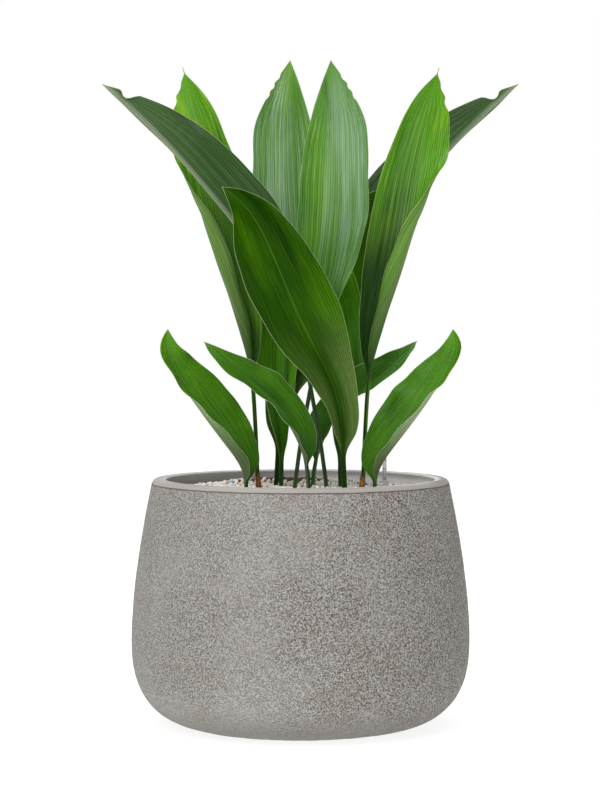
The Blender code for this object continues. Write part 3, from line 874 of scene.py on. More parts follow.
@dataclass(frozen=True)
class BladeForm:
    """A blade's outline and fold. Left and right are those of a leaf seen from its face, tip up."""

    blade_start: float
    left: tuple[float, ...]
    right: tuple[float, ...]
    face: tuple[Triple, ...]
    fold_left: tuple[float, ...]
    fold_right: tuple[float, ...]
    curl_left: tuple[float, ...] = (0.0, 0.0)
    curl_right: tuple[float, ...] = (0.0, 0.0)
    pleats: float = 6.5  # folds across each half
    pleat_mm: float = 0.34
    ripple_mm: float = 2.0
    ripples: float = 5.0
    notches: tuple[tuple[float, float, float], ...] = ()  # place, depth (negative on the left), half-length
    hair_mm: float = 0.0  # a dry thread at the tip

    def mirrored(self) -> BladeForm:
        """Mirror the blade in the YZ plane.

        Returns:
            The mirrored form.
        """
        return replace(
            self,
            left=self.right,
            right=self.left,
            face=tuple((-x, y, z) for x, y, z in self.face),
            fold_left=self.fold_right,
            fold_right=self.fold_left,
            curl_left=self.curl_right,
            curl_right=self.curl_left,
            notches=tuple((place, -depth, half) for place, depth, half in self.notches),
        )


@dataclass
class Leaf:
    """One leaf, blade and stalk grown as one organ."""

    name: str
    form: BladeForm
    finish: LeafFinish
    route_mm: tuple[tuple[int, int, int], ...]
    seed: int = 0
    stalk_radius: float = 0.0030
    thickness: float = 0.00055
    stalk_steps: int = 26
    blade_steps: int = 124
    half_steps: int = 38

    def build(self, foot_height: float) -> bpy.types.Object:
        """Model the leaf.

        Args:
            foot_height: Height of the rootstock's top, where the stalk stands.

        Returns:
            The finished leaf.
        """
        points = np.array(self.route_mm) * MM
        points[0, 2] = foot_height
        if self.form.hair_mm:
            way = points[-1] - points[-2]
            points = np.vstack([points, points[-1] + way / np.linalg.norm(way) * self.form.hair_mm * MM])
        rings, marks = self._rings(points)
        mesh = skin_rings(rings, thin=True)
        obj = add_object(self.name, mesh, self.finish.material(self.name, self.seed))
        for label, values in marks.items():
            layer = obj.data.attributes.new(label, "FLOAT", "POINT")
            layer.data.foreach_set("value", values.ravel().astype(np.float32))
        return obj

    def _rings(self, points: Array) -> tuple[Array, dict[str, Array]]:
        """Work out the cross-sections and the marks that the finish reads.

        Args:
            points: The midrib's route.

        Returns:
            Rings x points x 3, and each mark as rings x points.
        """
        form = self.form
        start = form.blade_start
        stalk = np.linspace(0, start, self.stalk_steps, endpoint=False)
        blade = start + (1 - start) * np.linspace(0, 1, self.blade_steps) ** 0.97
        shares = np.concatenate([stalk, blade])
        middle = spline_through(points, shares)
        length = float(np.sum(np.linalg.norm(np.diff(middle, axis=0), axis=1)))
        run = np.gradient(middle, axis=0)
        run /= np.linalg.norm(run, axis=1)[:, None]
        run[0] = (0, 0, 1)
        at = np.clip((shares - start) / (1 - start), 0, 1)
        face = evenly(form.face, at)
        face -= np.sum(face * run, axis=1)[:, None] * run
        face /= np.linalg.norm(face, axis=1)[:, None]
        across = np.cross(run, face)
        opened = self._ease(at / 0.10)[:, None, None]
        left, right = (np.radians(evenly(fold, at))[:, None] for fold in (form.fold_left, form.fold_right))
        crease = face * (np.cos(left) + np.cos(right)) + across * (np.sin(left) - np.sin(right))
        crease /= np.linalg.norm(crease, axis=1)[:, None]
        rows: dict[str, list[Array]] = {"upper": [], "lower": []}
        marks: dict[str, list[Array]] = {label: [] for label in ("across", "rib", "edge")}
        for side, sign in (("left", -1), ("right", 1)):
            half = self._half(side, sign, at, shares * length)
            out, up, tilt, reach, width = half["out"], half["up"], half["tilt"], half["reach"], half["width"]
            normal = face[:, None] * np.cos(tilt)[..., None]
            normal = normal - sign * across[:, None] * np.sin(tilt)[..., None]
            place = middle[:, None] + sign * out[..., None] * across[:, None] + up[..., None] * face[:, None]
            place = place + normal * half["relief"][..., None]
            normal[:, 0] = crease
            gap = reach * width
            rim = np.sqrt(np.clip(1 - ((reach - 0.965) / 0.035).clip(0, 1) ** 2, 0.04, 1))
            body = self.thickness / 2 * rim
            keel = self._keel(at)[:, None] * np.exp(-((gap / 0.0016) ** 2))
            groove = 0.45 * self._keel(at)[:, None] * np.exp(-((gap / 0.0009) ** 2))
            upper = place + normal * (body - groove)[..., None]
            lower = place - normal * (body + keel)[..., None]
            turn = sign * reach * math.radians(86)
            around = across[:, None] * np.sin(turn)[..., None]
            thick = self._stalk_radius(shares)[:, None, None]
            channel = 1 - 0.28 * np.exp(-((reach / 0.35) ** 2))[..., None]
            rod_upper = middle[:, None] + thick * (around + face[:, None] * np.cos(turn)[..., None] * channel)
            rod_lower = middle[:, None] + thick * (around - face[:, None] * np.cos(turn)[..., None])
            rows["upper"].append(opened * upper + (1 - opened) * rod_upper)
            rows["lower"].append(opened * lower + (1 - opened) * rod_lower)
            marks["across"].append(sign * reach)
            marks["rib"].append(gap / MM)
            marks["edge"].append((1 - reach) * width / MM)
        upper = np.concatenate([rows["upper"][0][:, :0:-1], rows["upper"][1]], axis=1)
        lower = np.concatenate([rows["lower"][0][:, :0:-1], rows["lower"][1]], axis=1)
        rings = np.concatenate([upper, lower[:, ::-1]], axis=1)
        count = upper.shape[1]
        found: dict[str, Array] = {}
        for label, (left, right) in marks.items():
            row = np.concatenate([left[:, :0:-1], right], axis=1)
            found[label] = np.concatenate([row, row[:, ::-1]], axis=1)
        found["along"] = np.repeat(at[:, None], 2 * count, axis=1)
        found["stalk"] = np.repeat(1 - self._ease(at / 0.07)[:, None], 2 * count, axis=1)
        found["under"] = np.tile(np.repeat([0.0, 1.0], count), (len(shares), 1))
        return rings, found

    def _half(self, side: str, sign: int, at: Array, distance: Array) -> dict[str, Array]:
        """Fold and curl one half of the blade.

        Args:
            side: left or right.
            sign: -1 for left and 1 for right.
            at: Each station's share of the blade.
            distance: Each station's distance from the foot.

        Returns:
            Offsets, slope and relief by station and step from the midrib to the margin.
        """
        form = self.form
        reach = np.linspace(0, 1, self.half_steps + 1)[None, :]
        reach = np.repeat(reach, len(at), axis=0)
        hair = form.hair_mm * MM / (float(distance[-1]) * (1 - form.blade_start))
        width = self._outline(getattr(form, side), np.clip(at / (1 - hair), 0, 1)) * MM
        for place, depth, half_length in form.notches:
            if (depth > 0) == (sign > 0):
                width = width * (1 - abs(depth) * np.exp(-np.abs((at - place) / half_length) ** 3))
        frayed = 1 + 0.010 * waves(self.seed * 3 + (sign > 0), distance / 0.05, np.zeros_like(at), 1.0)
        width = np.maximum(width * frayed, 0.0005)[:, None]
        fold = np.radians(evenly(getattr(form, f"fold_{side}"), at))[:, None]
        curl = np.radians(evenly(getattr(form, f"curl_{side}"), at))[:, None]
        centre = (reach[:, 1:] + reach[:, :-1]) / 2
        slope = fold + curl * centre**1.5
        step = width / self.half_steps
        nil = np.zeros((len(at), 1))
        out = np.concatenate([nil, np.cumsum(step * np.cos(slope), axis=1)], axis=1)
        up = np.concatenate([nil, np.cumsum(step * np.sin(slope), axis=1)], axis=1)
        tilt = fold + curl * reach**1.5

        fade = self._ease(at / 0.25)[:, None] * self._ease((1 - at) / 0.12)[:, None]
        seed = self.seed * 11 + (5 if sign > 0 else 0)
        wander = 0.35 * waves(seed, at[:, None] * 1.5, reach * 1.2, 1.0)
        strength = 0.75 + 0.5 * waves(seed + 1, at[:, None] * 2.0, reach * 2.0, 1.0)
        pleat = np.cos(math.tau * (form.pleats * reach**0.92 + wander)) * strength
        relief = form.pleat_mm * MM * pleat * fade * self._ease((1 - reach) / 0.15)
        ripple = np.sin(math.tau * (form.ripples * at[:, None] + 0.13 * seed))
        ripple = ripple * (0.7 + 0.5 * waves(seed + 2, at[:, None] * 3, reach * 0, 1.0))
        relief = relief + form.ripple_mm * MM * ripple * reach**2.6 * fade
        sway = waves(seed + 3, at[:, None] * 2.4, reach * 1.6 * sign, 1.0) * 0.9 * MM * fade * reach
        return {"out": out, "up": up, "tilt": tilt, "reach": reach, "width": width, "relief": relief + sway}

    @staticmethod
    def _outline(stations: Sequence[float], at: Array) -> Array:
        """Read a half-width, its stations rounded into one soft outline.

        Args:
            stations: Half-widths in millimetres at WIDTH_STATIONS.
            at: Shares of the blade.

        Returns:
            Half-widths in millimetres.
        """
        fine = np.linspace(-0.2, 1.2, 1401)
        sharp = monotone(WIDTH_STATIONS, stations, fine)
        kernel = np.exp(-((np.arange(-120, 121) * 0.001 / 0.035) ** 2))
        soft = np.convolve(sharp, kernel / kernel.sum(), mode="same")
        near_end = np.clip(np.minimum(at / 0.10, (1 - at) / 0.10), 0, 1)
        return np.interp(at, fine, soft) * near_end + monotone(WIDTH_STATIONS, stations, at) * (1 - near_end)

    def _keel(self, at: Array) -> Array:
        """Return how far the midrib stands out of the underside, by share of the blade."""
        return 0.0019 * np.clip(1 - at, 0, 1) ** 1.3 + 0.0001

    def _stalk_radius(self, shares: Array) -> Array:
        """Return the stalk's radius, a little thicker at the foot."""
        return self.stalk_radius * (0.94 + 0.06 * np.exp(-shares / 0.05))

    @staticmethod
    def _ease(value: Array) -> Array:
        """Return a smooth step from 0 to 1."""
        share = np.clip(value, 0, 1)
        return share * share * (3 - 2 * share)


OUTER = BladeForm(
    blade_start=0.30,
    left=(3, 22, 46, 55, 32, 8, 0),
    right=(3, 26, 50, 64, 49, 18, 0),
    face=((-0.5, -1, 0.2), (-0.1, -1, 0.2), (0, -1, 0.3)),
    fold_left=(-60, -115, -110, -100, -90),
    fold_right=(20, -8, -5, 10),
    notches=((0.925, 0.55, 0.018),),
    ripple_mm=1.4,
)
ROLLED = BladeForm(
    blade_start=0.27,
    left=(3, 16, 32, 42, 34, 17, 0),
    right=(3, 24, 44, 54, 46, 27, 0),
    face=((-0.5, -1, 0.1), (-0.35, -1, 0.1), (0.2, -1, 0.2), (0.6, -1, 0.4)),
    fold_left=(15, 10, 12, 10),
    fold_right=(20, 15, 10, 5, 5, 5),
    curl_right=(180, 205, 210, 130, 10, 0),
    notches=((0.90, 0.14, 0.014), (0.94, 0.2, 0.012)),
    hair_mm=9.0,
    pleats=5.0,
    pleat_mm=0.50,
)
UPRIGHT = BladeForm(
    blade_start=0.36,
    left=(3, 26, 56, 55, 42, 18, 0),
    right=(3, 14, 28, 43, 42, 17, 0),
    face=((0.2, -1, 0.1), (0.1, -1, 0.1), (-0.05, -1, 0.1)),
    fold_left=(40, 14, 10),
    fold_right=(40, 14, 14),
    curl_right=(0, 20, 10),
    pleat_mm=0.55,
    notches=((0.935, 0.16, 0.010), (0.90, 0.12, 0.009), (0.868, 0.08, 0.010)),
)
BROAD = BladeForm(
    blade_start=0.13,
    left=(2, 16, 30, 47, 54, 30, 0),
    right=(3, 22, 32, 55, 43, 19, 0),
    face=((-0.2, -1, 0.2), (-0.1, -1, 0.3), (0.1, -1, 0.45), (0.2, -1, 0.6)),
    fold_left=(70, 50, 16, 8, 8),
    fold_right=(30, 12, 10, 8, 8),
)
BROAD_BACK = replace(
    BROAD.mirrored(), face=((0.2, -1, 0.1), (0.1, -1, 0.1), (-0.1, -1, 0.1), (-0.2, -1, 0.1))
)
MIDDLE = BladeForm(
    blade_start=0.13,
    left=(4, 15, 24, 36, 33, 16, 0),
    right=(3, 8, 15, 31, 32, 16, 0),
    face=((0.1, -1, 0.2), (0.1, -1, 0.2)),
    fold_left=(60, 20, 15, 10),
    fold_right=(60, 20, 15, 10),
)
LOW = BladeForm(
    blade_start=0.11,
    left=(3, 22, 38, 44, 32, 14, 0),
    right=(3, 26, 44, 50, 35, 14, 0),
    face=((0.8, -1, 0.5), (0.5, -1, 0.5), (0.4, -1, 0.4)),
    fold_left=(69, 68, 58, 24),
    fold_right=(30, 8, 5),
)
ARCHING = BladeForm(
    blade_start=0.20,
    left=(3, 16, 26, 32, 22, 9, 0),
    right=(3, 20, 33, 36, 22, 8, 0),
    face=((0.7, -0.6, 0.8), (0.4, -0.9, 0.9), (0.3, -0.9, 0.8)),
    fold_left=(42, 40, 38, 22, 5),
    fold_right=(40, 20, 20),
)

DARK = LeafFinish(
    body=(46, 82, 26), streak=(92, 118, 76), shade=(22, 50, 8), glow=(66, 106, 30), under=(150, 164, 132),
    streaks=0.45, glows=0.45, shadow_base=0.3, shadow_right=0.25, veins=0.85, specular=0.26,
    rib_band_mm=9.0)
BRIGHT = LeafFinish(
    body=(90, 154, 30), streak=(134, 184, 104), shade=(2, 46, 0), glow=(134, 186, 12), under=(104, 138, 62),
    streaks=0.62, glows=0.85, shadow_left=1.0, shadow_right=0.55, shadow_base=0.95, specular=0.16)
SHEEN = LeafFinish(
    body=(82, 142, 32), streak=(196, 220, 202), shade=(34, 88, 8), glow=(118, 178, 26),
    streaks=0.95, glows=0.60, shadow_right=0.35, shadow_base=0.7, specular=0.45, roughness=0.30,
    sheen_side=-0.34)
DEEP = LeafFinish(
    body=(34, 74, 0), streak=(64, 106, 12), shade=(14, 42, 0), glow=(66, 116, 0), under=(110, 136, 70),
    streaks=0.15, glows=0.8, shadow_base=0.10, specular=0.04, pale_left=0.55, pale_right=0.75)
FRESH = LeafFinish(
    body=(78, 138, 26), streak=(116, 168, 74), shade=(24, 74, 2), glow=(98, 160, 16), under=(138, 162, 104),
    streaks=0.40, glows=0.65, shadow_base=0.35, specular=0.16, margin=(206, 214, 182))
# a darker copy of FRESH: painted shade for the arching leaves
LOWLIT = LeafFinish(
    body=(60, 114, 20), streak=(98, 146, 62), shade=(20, 62, 0), glow=(76, 132, 10), under=(138, 160, 110),
    streaks=0.40, glows=0.55, shadow_base=0.35, specular=0.14, margin=(212, 220, 196))
INNER = LeafFinish(
    body=(66, 128, 14), streak=(92, 152, 46), shade=(14, 54, 0), glow=(104, 170, 12), under=(96, 128, 60),
    streaks=0.25, glows=0.8, shadow_left=0.5, shadow_base=0.7, specular=0.12)


def plant_leaves() -> list[Leaf]:
    """List the fourteen leaves.

    Returns:
        The leaves, front ones first.
    """
    leaves = [
        Leaf("leaf_broad_front", BROAD, DEEP, (
            (60, -48, 291), (56, -55, 371), (52, -60, 417), (44, -68, 450), (23, -85, 496),
            (-1, -108, 544), (-41, -148, 637), (-73, -168, 689), (-99, -182, 710))),
        Leaf("leaf_arching_left", ARCHING, LOWLIT, (
            (11, -60, 291), (6, -75, 359), (-14, -90, 405), (-50, -100, 448), (-83, -105, 476),
            (-108, -105, 498), (-125, -100, 514))),
        Leaf("leaf_low_left", LOW, FRESH, (
            (-73, -30, 291), (-75, -40, 341), (-95, -55, 375), (-131, -75, 424), (-162, -90, 474),
            (-172, -95, 503), (-172, -90, 530))),
        Leaf("leaf_low_right", LOW.mirrored(), FRESH, (
            (100, -20, 291), (102, -25, 340), (122, -30, 373), (159, -35, 422), (191, -30, 472),
            (202, -25, 501), (202, -15, 529))),
        Leaf("leaf_outer_left", OUTER, DARK, (
            (59, -22, 291), (48, -30, 409), (19, -42, 508), (-50, -56, 617), (-125, -56, 711),
            (-197, -46, 791), (-261, -30, 851))),
        Leaf("leaf_upright_right", UPRIGHT, replace(SHEEN, sheen_side=0.30), (
            (-11, -10, 291), (2, 0, 388), (14, 10, 454), (34, 20, 581), (45, 22, 642),
            (50, 20, 741), (47, 15, 834), (40, 0, 885))),
        Leaf("leaf_upright_left", UPRIGHT.mirrored(), SHEEN, (
            (38, 12, 291), (25, 17, 387), (13, 34, 453), (-7, 60, 581), (-18, 75, 643),
            (-24, 85, 744), (-21, 90, 839), (-14, 90, 893))),
        Leaf("leaf_rolled_right", ROLLED, BRIGHT, (
            (82, 0, 291), (87, 0, 408), (94, 0, 488), (111, 0, 567), (130, 5, 647), (146, 15, 738),
            (163, 30, 808), (184, 50, 872))),
        Leaf("leaf_rolled_left", ROLLED.mirrored(), BRIGHT, (
            (-56, 15, 291), (-61, 20, 407), (-68, 30, 487), (-85, 40, 567), (-105, 50, 648),
            (-121, 60, 740), (-137, 70, 811), (-158, 90, 876))),
        Leaf("leaf_middle_right", MIDDLE, INNER, (
            (55, 50, 291), (54, 68, 364), (58, 80, 417), (61, 94, 472), (58, 104, 526),
            (47, 113, 581), (24, 121, 629), (-1, 126, 661))),
        Leaf("leaf_middle_left", MIDDLE.mirrored(), INNER, (
            (-28, 30, 291), (-26, 55, 364), (-31, 70, 418), (-33, 88, 472), (-31, 105, 526),
            (-20, 120, 581), (3, 138, 629), (28, 155, 662))),
        Leaf("leaf_arching_right", ARCHING.mirrored(), LOWLIT, (
            (16, 44, 291), (21, 48, 351), (41, 52, 398), (79, 53, 443), (114, 55, 471),
            (140, 60, 494), (158, 70, 512))),
        Leaf("leaf_broad_back", BROAD_BACK, DEEP, (
            (-35, 60, 291), (-31, 74, 363), (-27, 86, 410), (-19, 102, 444), (3, 122, 492),
            (28, 142, 542), (73, 172, 644), (108, 187, 701), (138, 197, 726))),
        Leaf("leaf_outer_right", OUTER.mirrored(), DARK, (
            (-33, 85, 291), (-23, 116, 402), (8, 154, 505), (82, 192, 620), (163, 214, 722),
            (240, 214, 808), (306, 200, 870))),
    ]
    for number, leaf in enumerate(leaves):
        leaf.seed = number + 1
    return leaves


@dataclass
class Foliage:
    """All the leaves, each a piece of its own that stands for its CAD node."""

    leaves: list[Leaf] = field(default_factory=plant_leaves)

    def build(self) -> list[bpy.types.Object]:
        """Build every leaf, attach it to the pot and plant's body and hide its CAD node.

        Returns:
            The leaves.
        """
        made = []
        for leaf in self.leaves:
            node = leaf.name
            leaf.name = node.replace("leaf_", "blade_")
            piece = leaf.build(float(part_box(node)[0][2]))
            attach(piece, "pot_and_plant")
            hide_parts(node)
            made.append(piece)
        return made


# --------------------------------------------------------------------------------------------------
# Sheaths at the feet of two stalks
# --------------------------------------------------------------------------------------------------


@dataclass
class Sheath:
    """A dry papery sleeve, frayed at the top and a little loose about its stalk."""

    node: str
    around: int = 64
    up: int = 22
    wall: float = 0.0004
    tall_side: float = -1.9  # direction of the tallest tatter, in radians
    seed: int = 3

    def build(self) -> bpy.types.Object:
        """Build the sleeve within its CAD solid's box.

        Returns:
            The finished sleeve.
        """
        low, high = (np.array(corner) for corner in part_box(self.node))
        centre = (low + high) / 2
        radius = (high[0] - low[0]) / 2
        angles = np.linspace(0, math.tau, self.around, endpoint=False)
        lean = ((1 + np.cos(angles - self.tall_side)) / 2) ** 3
        fray = 0.42 + 0.52 * lean + 0.10 * waves(self.seed, angles / math.tau * 16, angles * 0, 1.0)
        fray = np.clip(fray, 0.2, 1.0)
        rings = []
        for step in range(self.up + 1):
            share = step / self.up
            height = low[2] + (high[2] - low[2]) * share * fray
            crumple = waves(self.seed + 2, angles / math.tau * 5, share, 1.0)
            swell = radius * (0.95 - 0.10 * share + 0.06 * crumple)
            rings.append((np.minimum(swell, radius), height))
        outer = [self._ring(centre, swell, height, angles) for swell, height in rings]
        inner = [self._ring(centre, swell - self.wall, height, angles) for swell, height in rings]
        stack = np.array(outer + inner[::-1])
        mesh = skin_rings(np.concatenate([stack, stack[:1]]), close=False)
        bmesh.ops.remove_doubles(mesh, verts=mesh.verts, dist=1e-7)
        finish = CrumblyFinish("dry sheath", (188, 120, 70), (104, 56, 28), 300.0, 0.7, 0.0004)
        piece = add_object(self.node.replace("sheath_", "papery_sheath_"), mesh, finish.material())
        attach(piece, "pot_and_plant")
        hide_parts(self.node)
        return piece

    @staticmethod
    def _ring(centre: Array, radius: Array, height: Array, angles: Array) -> Array:
        """Place one ring about the sleeve's axis.

        Args:
            centre: The axis, as x and y.
            radius: Radius at each angle.
            height: Height at each angle.
            angles: Angles in radians.

        Returns:
            The ring's points.
        """
        x = centre[0] + radius * np.cos(angles)
        y = centre[1] + radius * np.sin(angles)
        return np.stack([x, y, height], axis=1)


# --------------------------------------------------------------------------------------------------
# Pot
# --------------------------------------------------------------------------------------------------


@dataclass
class Planter:
    """The round pot: a turned wall whose belly and shoulder follow two power curves."""

    node: str = "planter"
    base_radius: float = 0.110
    belly_height: float = 0.120
    corner_power: float = 2.6
    shoulder_power: float = 1.6
    rim_radius: float = 0.197
    wall: float = 0.018
    floor: float = 0.020
    lip_start: float = 0.0045  # below the rim's top
    lip_round: float = 0.0042
    lip_rise: float = 0.0043
    inner_round: float = 0.0028
    around: int = 288
    low_steps: int = 44
    high_steps: int = 52
    inner_steps: int = 26
    height: float = field(init=False)
    belly_radius: float = field(init=False)

    def __post_init__(self) -> None:
        """Take the height and the belly from the CAD solid."""
        low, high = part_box(self.node)
        self.height = float(high[2])
        self.belly_radius = float(high[0] - low[0]) / 2

    def outer_radius(self, height: float) -> float:
        """Read the outside radius.

        Args:
            height: Height above the base.

        Returns:
            The radius there.
        """
        if height < self.belly_height:
            power = self.corner_power
            share = (1 - (1 - max(height, 0.0) / self.belly_height) ** power) ** (1 / power)
            return self.base_radius + (self.belly_radius - self.base_radius) * share
        share = (height - self.belly_height) / (self.height - self.belly_height)
        return self.belly_radius - (self.belly_radius - self.rim_radius) * share**self.shoulder_power

    def profile(self) -> list[tuple[float, float]]:
        """Run from the middle of the underside, up the outside, over the rim and down inside.

        Returns:
            Points as radius and height.
        """
        turn = np.linspace(0, math.pi / 2, self.low_steps)
        low = self.belly_height * (1 - np.cos(turn))
        edge = self.height - self.lip_start
        high = np.linspace(self.belly_height, edge, self.high_steps)[1:]
        points = [(0.0, 0.0), (self.base_radius * 0.6, 0.0)]
        points += [(self.outer_radius(float(height)), float(height)) for height in (*low, *high)]
        rim_inner = self.rim_radius - self.wall
        for angle in np.linspace(0, 90, 8)[1:]:
            turn_out = math.radians(float(angle))
            across = self.rim_radius - self.lip_round * (1 - math.cos(turn_out))
            points.append((across, edge + self.lip_rise * math.sin(turn_out)))
        points.append(((self.rim_radius + rim_inner) / 2, self.height))
        for angle in np.linspace(90, 0, 7)[:-1]:
            turn_in = math.radians(float(angle))
            across = rim_inner + self.inner_round * (1 - math.cos(turn_in))
            points.append((across, self.height - self.inner_round * (1 - math.sin(turn_in))))
        for height in np.linspace(self.height - 0.0035, 0.060, self.inner_steps):
            points.append((self.outer_radius(float(height)) - self.wall, float(height)))
        last = points[-1][0]
        points += [(last - 0.008, 0.040), (last - 0.022, 0.026), (last - 0.040, self.floor)]
        points.append((0.0, self.floor))
        return points

    def build(self) -> bpy.types.Object:
        """Turn the pot and give it its slight unevenness.

        Returns:
            The finished pot.
        """
        source = add_object("pot source", turned(self.profile(), (0, 0), self.around))
        finish = ConcreteFinish().material(self.height)
        tree = uneven_skin()
        values = {"Amount": 0.00035, "Size": 55.0, "Finish": finish}
        piece = GeometryTree(tree).make("pot_shell", source, values)
        inner = piece.data.attributes.new("inner", "FLOAT", "POINT")
        flags = []
        for vertex in piece.data.vertices:
            radius = math.hypot(vertex.co.x, vertex.co.y)
            flags.append(float(radius < self.outer_radius(vertex.co.z) - 0.010 and vertex.co.z > 0.005))
        inner.data.foreach_set("value", flags)
        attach(piece, "pot_and_plant")
        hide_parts(self.node)
        return piece


def uneven_skin() -> bpy.types.NodeTree:
    """Build the tree that moves a surface in and out by soft noise.

    Returns:
        The geometry tree.
    """
    inputs = {"Geometry": (GEOMETRY, None), "Amount": (FLOAT, 0.0003), "Size": (FLOAT, 50.0)}
    inputs["Finish"] = (MATERIAL, None)
    tree = new_group("uneven skin", "GeometryNodeTree", inputs, {"Geometry": GEOMETRY})
    w = Wiring(tree)
    given = tree.nodes["in"].outputs
    noise = w.node("ShaderNodeTexNoise", None, Scale=given["Size"], Detail=2.0)
    centred = w.less(noise.outputs["Fac"], 0.62)
    push = w.times(w.math("MINIMUM", centred, 0.0), w.times(given["Amount"], 4.0))
    normal = w.node("GeometryNodeInputNormal").outputs[0]
    offset = w.node("ShaderNodeVectorMath", {"operation": "SCALE"}, i0=normal)
    w.feed(offset.inputs["Scale"], push)
    moved = w.node("GeometryNodeSetPosition", None, Geometry=given["Geometry"], Offset=offset.outputs[0])
    realised = w.node("GeometryNodeRealizeInstances", None, Geometry=moved)
    dressed = w.node("GeometryNodeSetMaterial", None, Geometry=realised, Material=given["Finish"])
    w.feed(tree.nodes["out"].inputs["Geometry"], dressed)
    return tree


# --------------------------------------------------------------------------------------------------
# Growing medium
# --------------------------------------------------------------------------------------------------


def scattered_grains() -> bpy.types.NodeTree:
    """Build the tree that lays irregular grains over a surface.

    Returns:
        The geometry tree.
    """
    inputs = {"Geometry": (GEOMETRY, None), "Spacing": (FLOAT, 0.004), "Density": (FLOAT, 9e4)}
    inputs |= {"Smallest": (FLOAT, 0.0013), "Largest": (FLOAT, 0.0024)}
    inputs |= {"Seed": (INTEGER, 1), "Finish": (MATERIAL, None)}
    tree = new_group("scattered grains", "GeometryNodeTree", inputs, {"Geometry": GEOMETRY})
    w = Wiring(tree)
    given = tree.nodes["in"].outputs
    evenly_spread = {"distribute_method": "POISSON"}
    spread = w.node("GeometryNodeDistributePointsOnFaces", evenly_spread, Mesh=given["Geometry"])
    w.feed(spread.inputs["Distance Min"], given["Spacing"])
    w.feed(spread.inputs["Density Max"], given["Density"])
    w.feed(spread.inputs["Seed"], given["Seed"])
    cube = w.node("GeometryNodeMeshCube", None, Size=(1, 1, 1))
    for label in ("Vertices X", "Vertices Y", "Vertices Z"):
        cube.inputs[label].default_value = 3
    place = w.node("GeometryNodeInputPosition").outputs[0]
    round_off = w.node("ShaderNodeVectorMath", {"operation": "NORMALIZE"}, i0=place)
    ball = w.node("GeometryNodeSetPosition", None, Geometry=cube, Position=round_off)
    turn = w.node("FunctionNodeRandomValue", {"data_type": "FLOAT_VECTOR"}, Seed=given["Seed"])
    turn.inputs[0].default_value = (0, 0, 0)
    turn.inputs[1].default_value = (math.tau, math.tau, math.tau)
    low = w.vector(given["Smallest"], given["Smallest"], w.times(given["Smallest"], 0.8))
    high = w.vector(given["Largest"], given["Largest"], w.times(given["Largest"], 0.8))
    size = w.node("FunctionNodeRandomValue", {"data_type": "FLOAT_VECTOR"}, i0=low, i1=high)
    w.feed(size.inputs["Seed"], w.plus(given["Seed"], 7))
    laid = w.node("GeometryNodeInstanceOnPoints", None, Points=spread.outputs["Points"], Instance=ball)
    w.feed(laid.inputs["Rotation"], turn.outputs[0])
    w.feed(laid.inputs["Scale"], size.outputs[0])
    tint = w.node("FunctionNodeRandomValue", {"data_type": "FLOAT"})
    w.feed(tint.inputs["Seed"], w.plus(given["Seed"], 13))
    per_grain = {"data_type": "FLOAT", "domain": "INSTANCE"}
    stored = w.node("GeometryNodeStoreNamedAttribute", per_grain, Geometry=laid, Name="tint")
    w.feed(stored.inputs["Value"], tint.outputs[1])
    realised = w.node("GeometryNodeRealizeInstances", None, Geometry=stored)
    lumps = w.node("ShaderNodeTexNoise", {"noise_dimensions": "3D"}, Scale=330.0, Detail=1.0)
    shift = w.node("ShaderNodeVectorMath", {"operation": "SUBTRACT"}, i0=lumps.outputs["Color"])
    shift.inputs[1].default_value = (0.5, 0.5, 0.5)
    scaled = w.node("ShaderNodeVectorMath", {"operation": "SCALE"}, i0=shift)
    scaled.inputs["Scale"].default_value = 0.0018
    rough = w.node("GeometryNodeSetPosition", None, Geometry=realised, Offset=scaled.outputs[0])
    smooth = w.node("GeometryNodeSetShadeSmooth", None, Geometry=rough)
    dressed = w.node("GeometryNodeSetMaterial", None, Geometry=smooth, Material=given["Finish"])
    w.feed(tree.nodes["out"].inputs["Geometry"], dressed)
    return tree


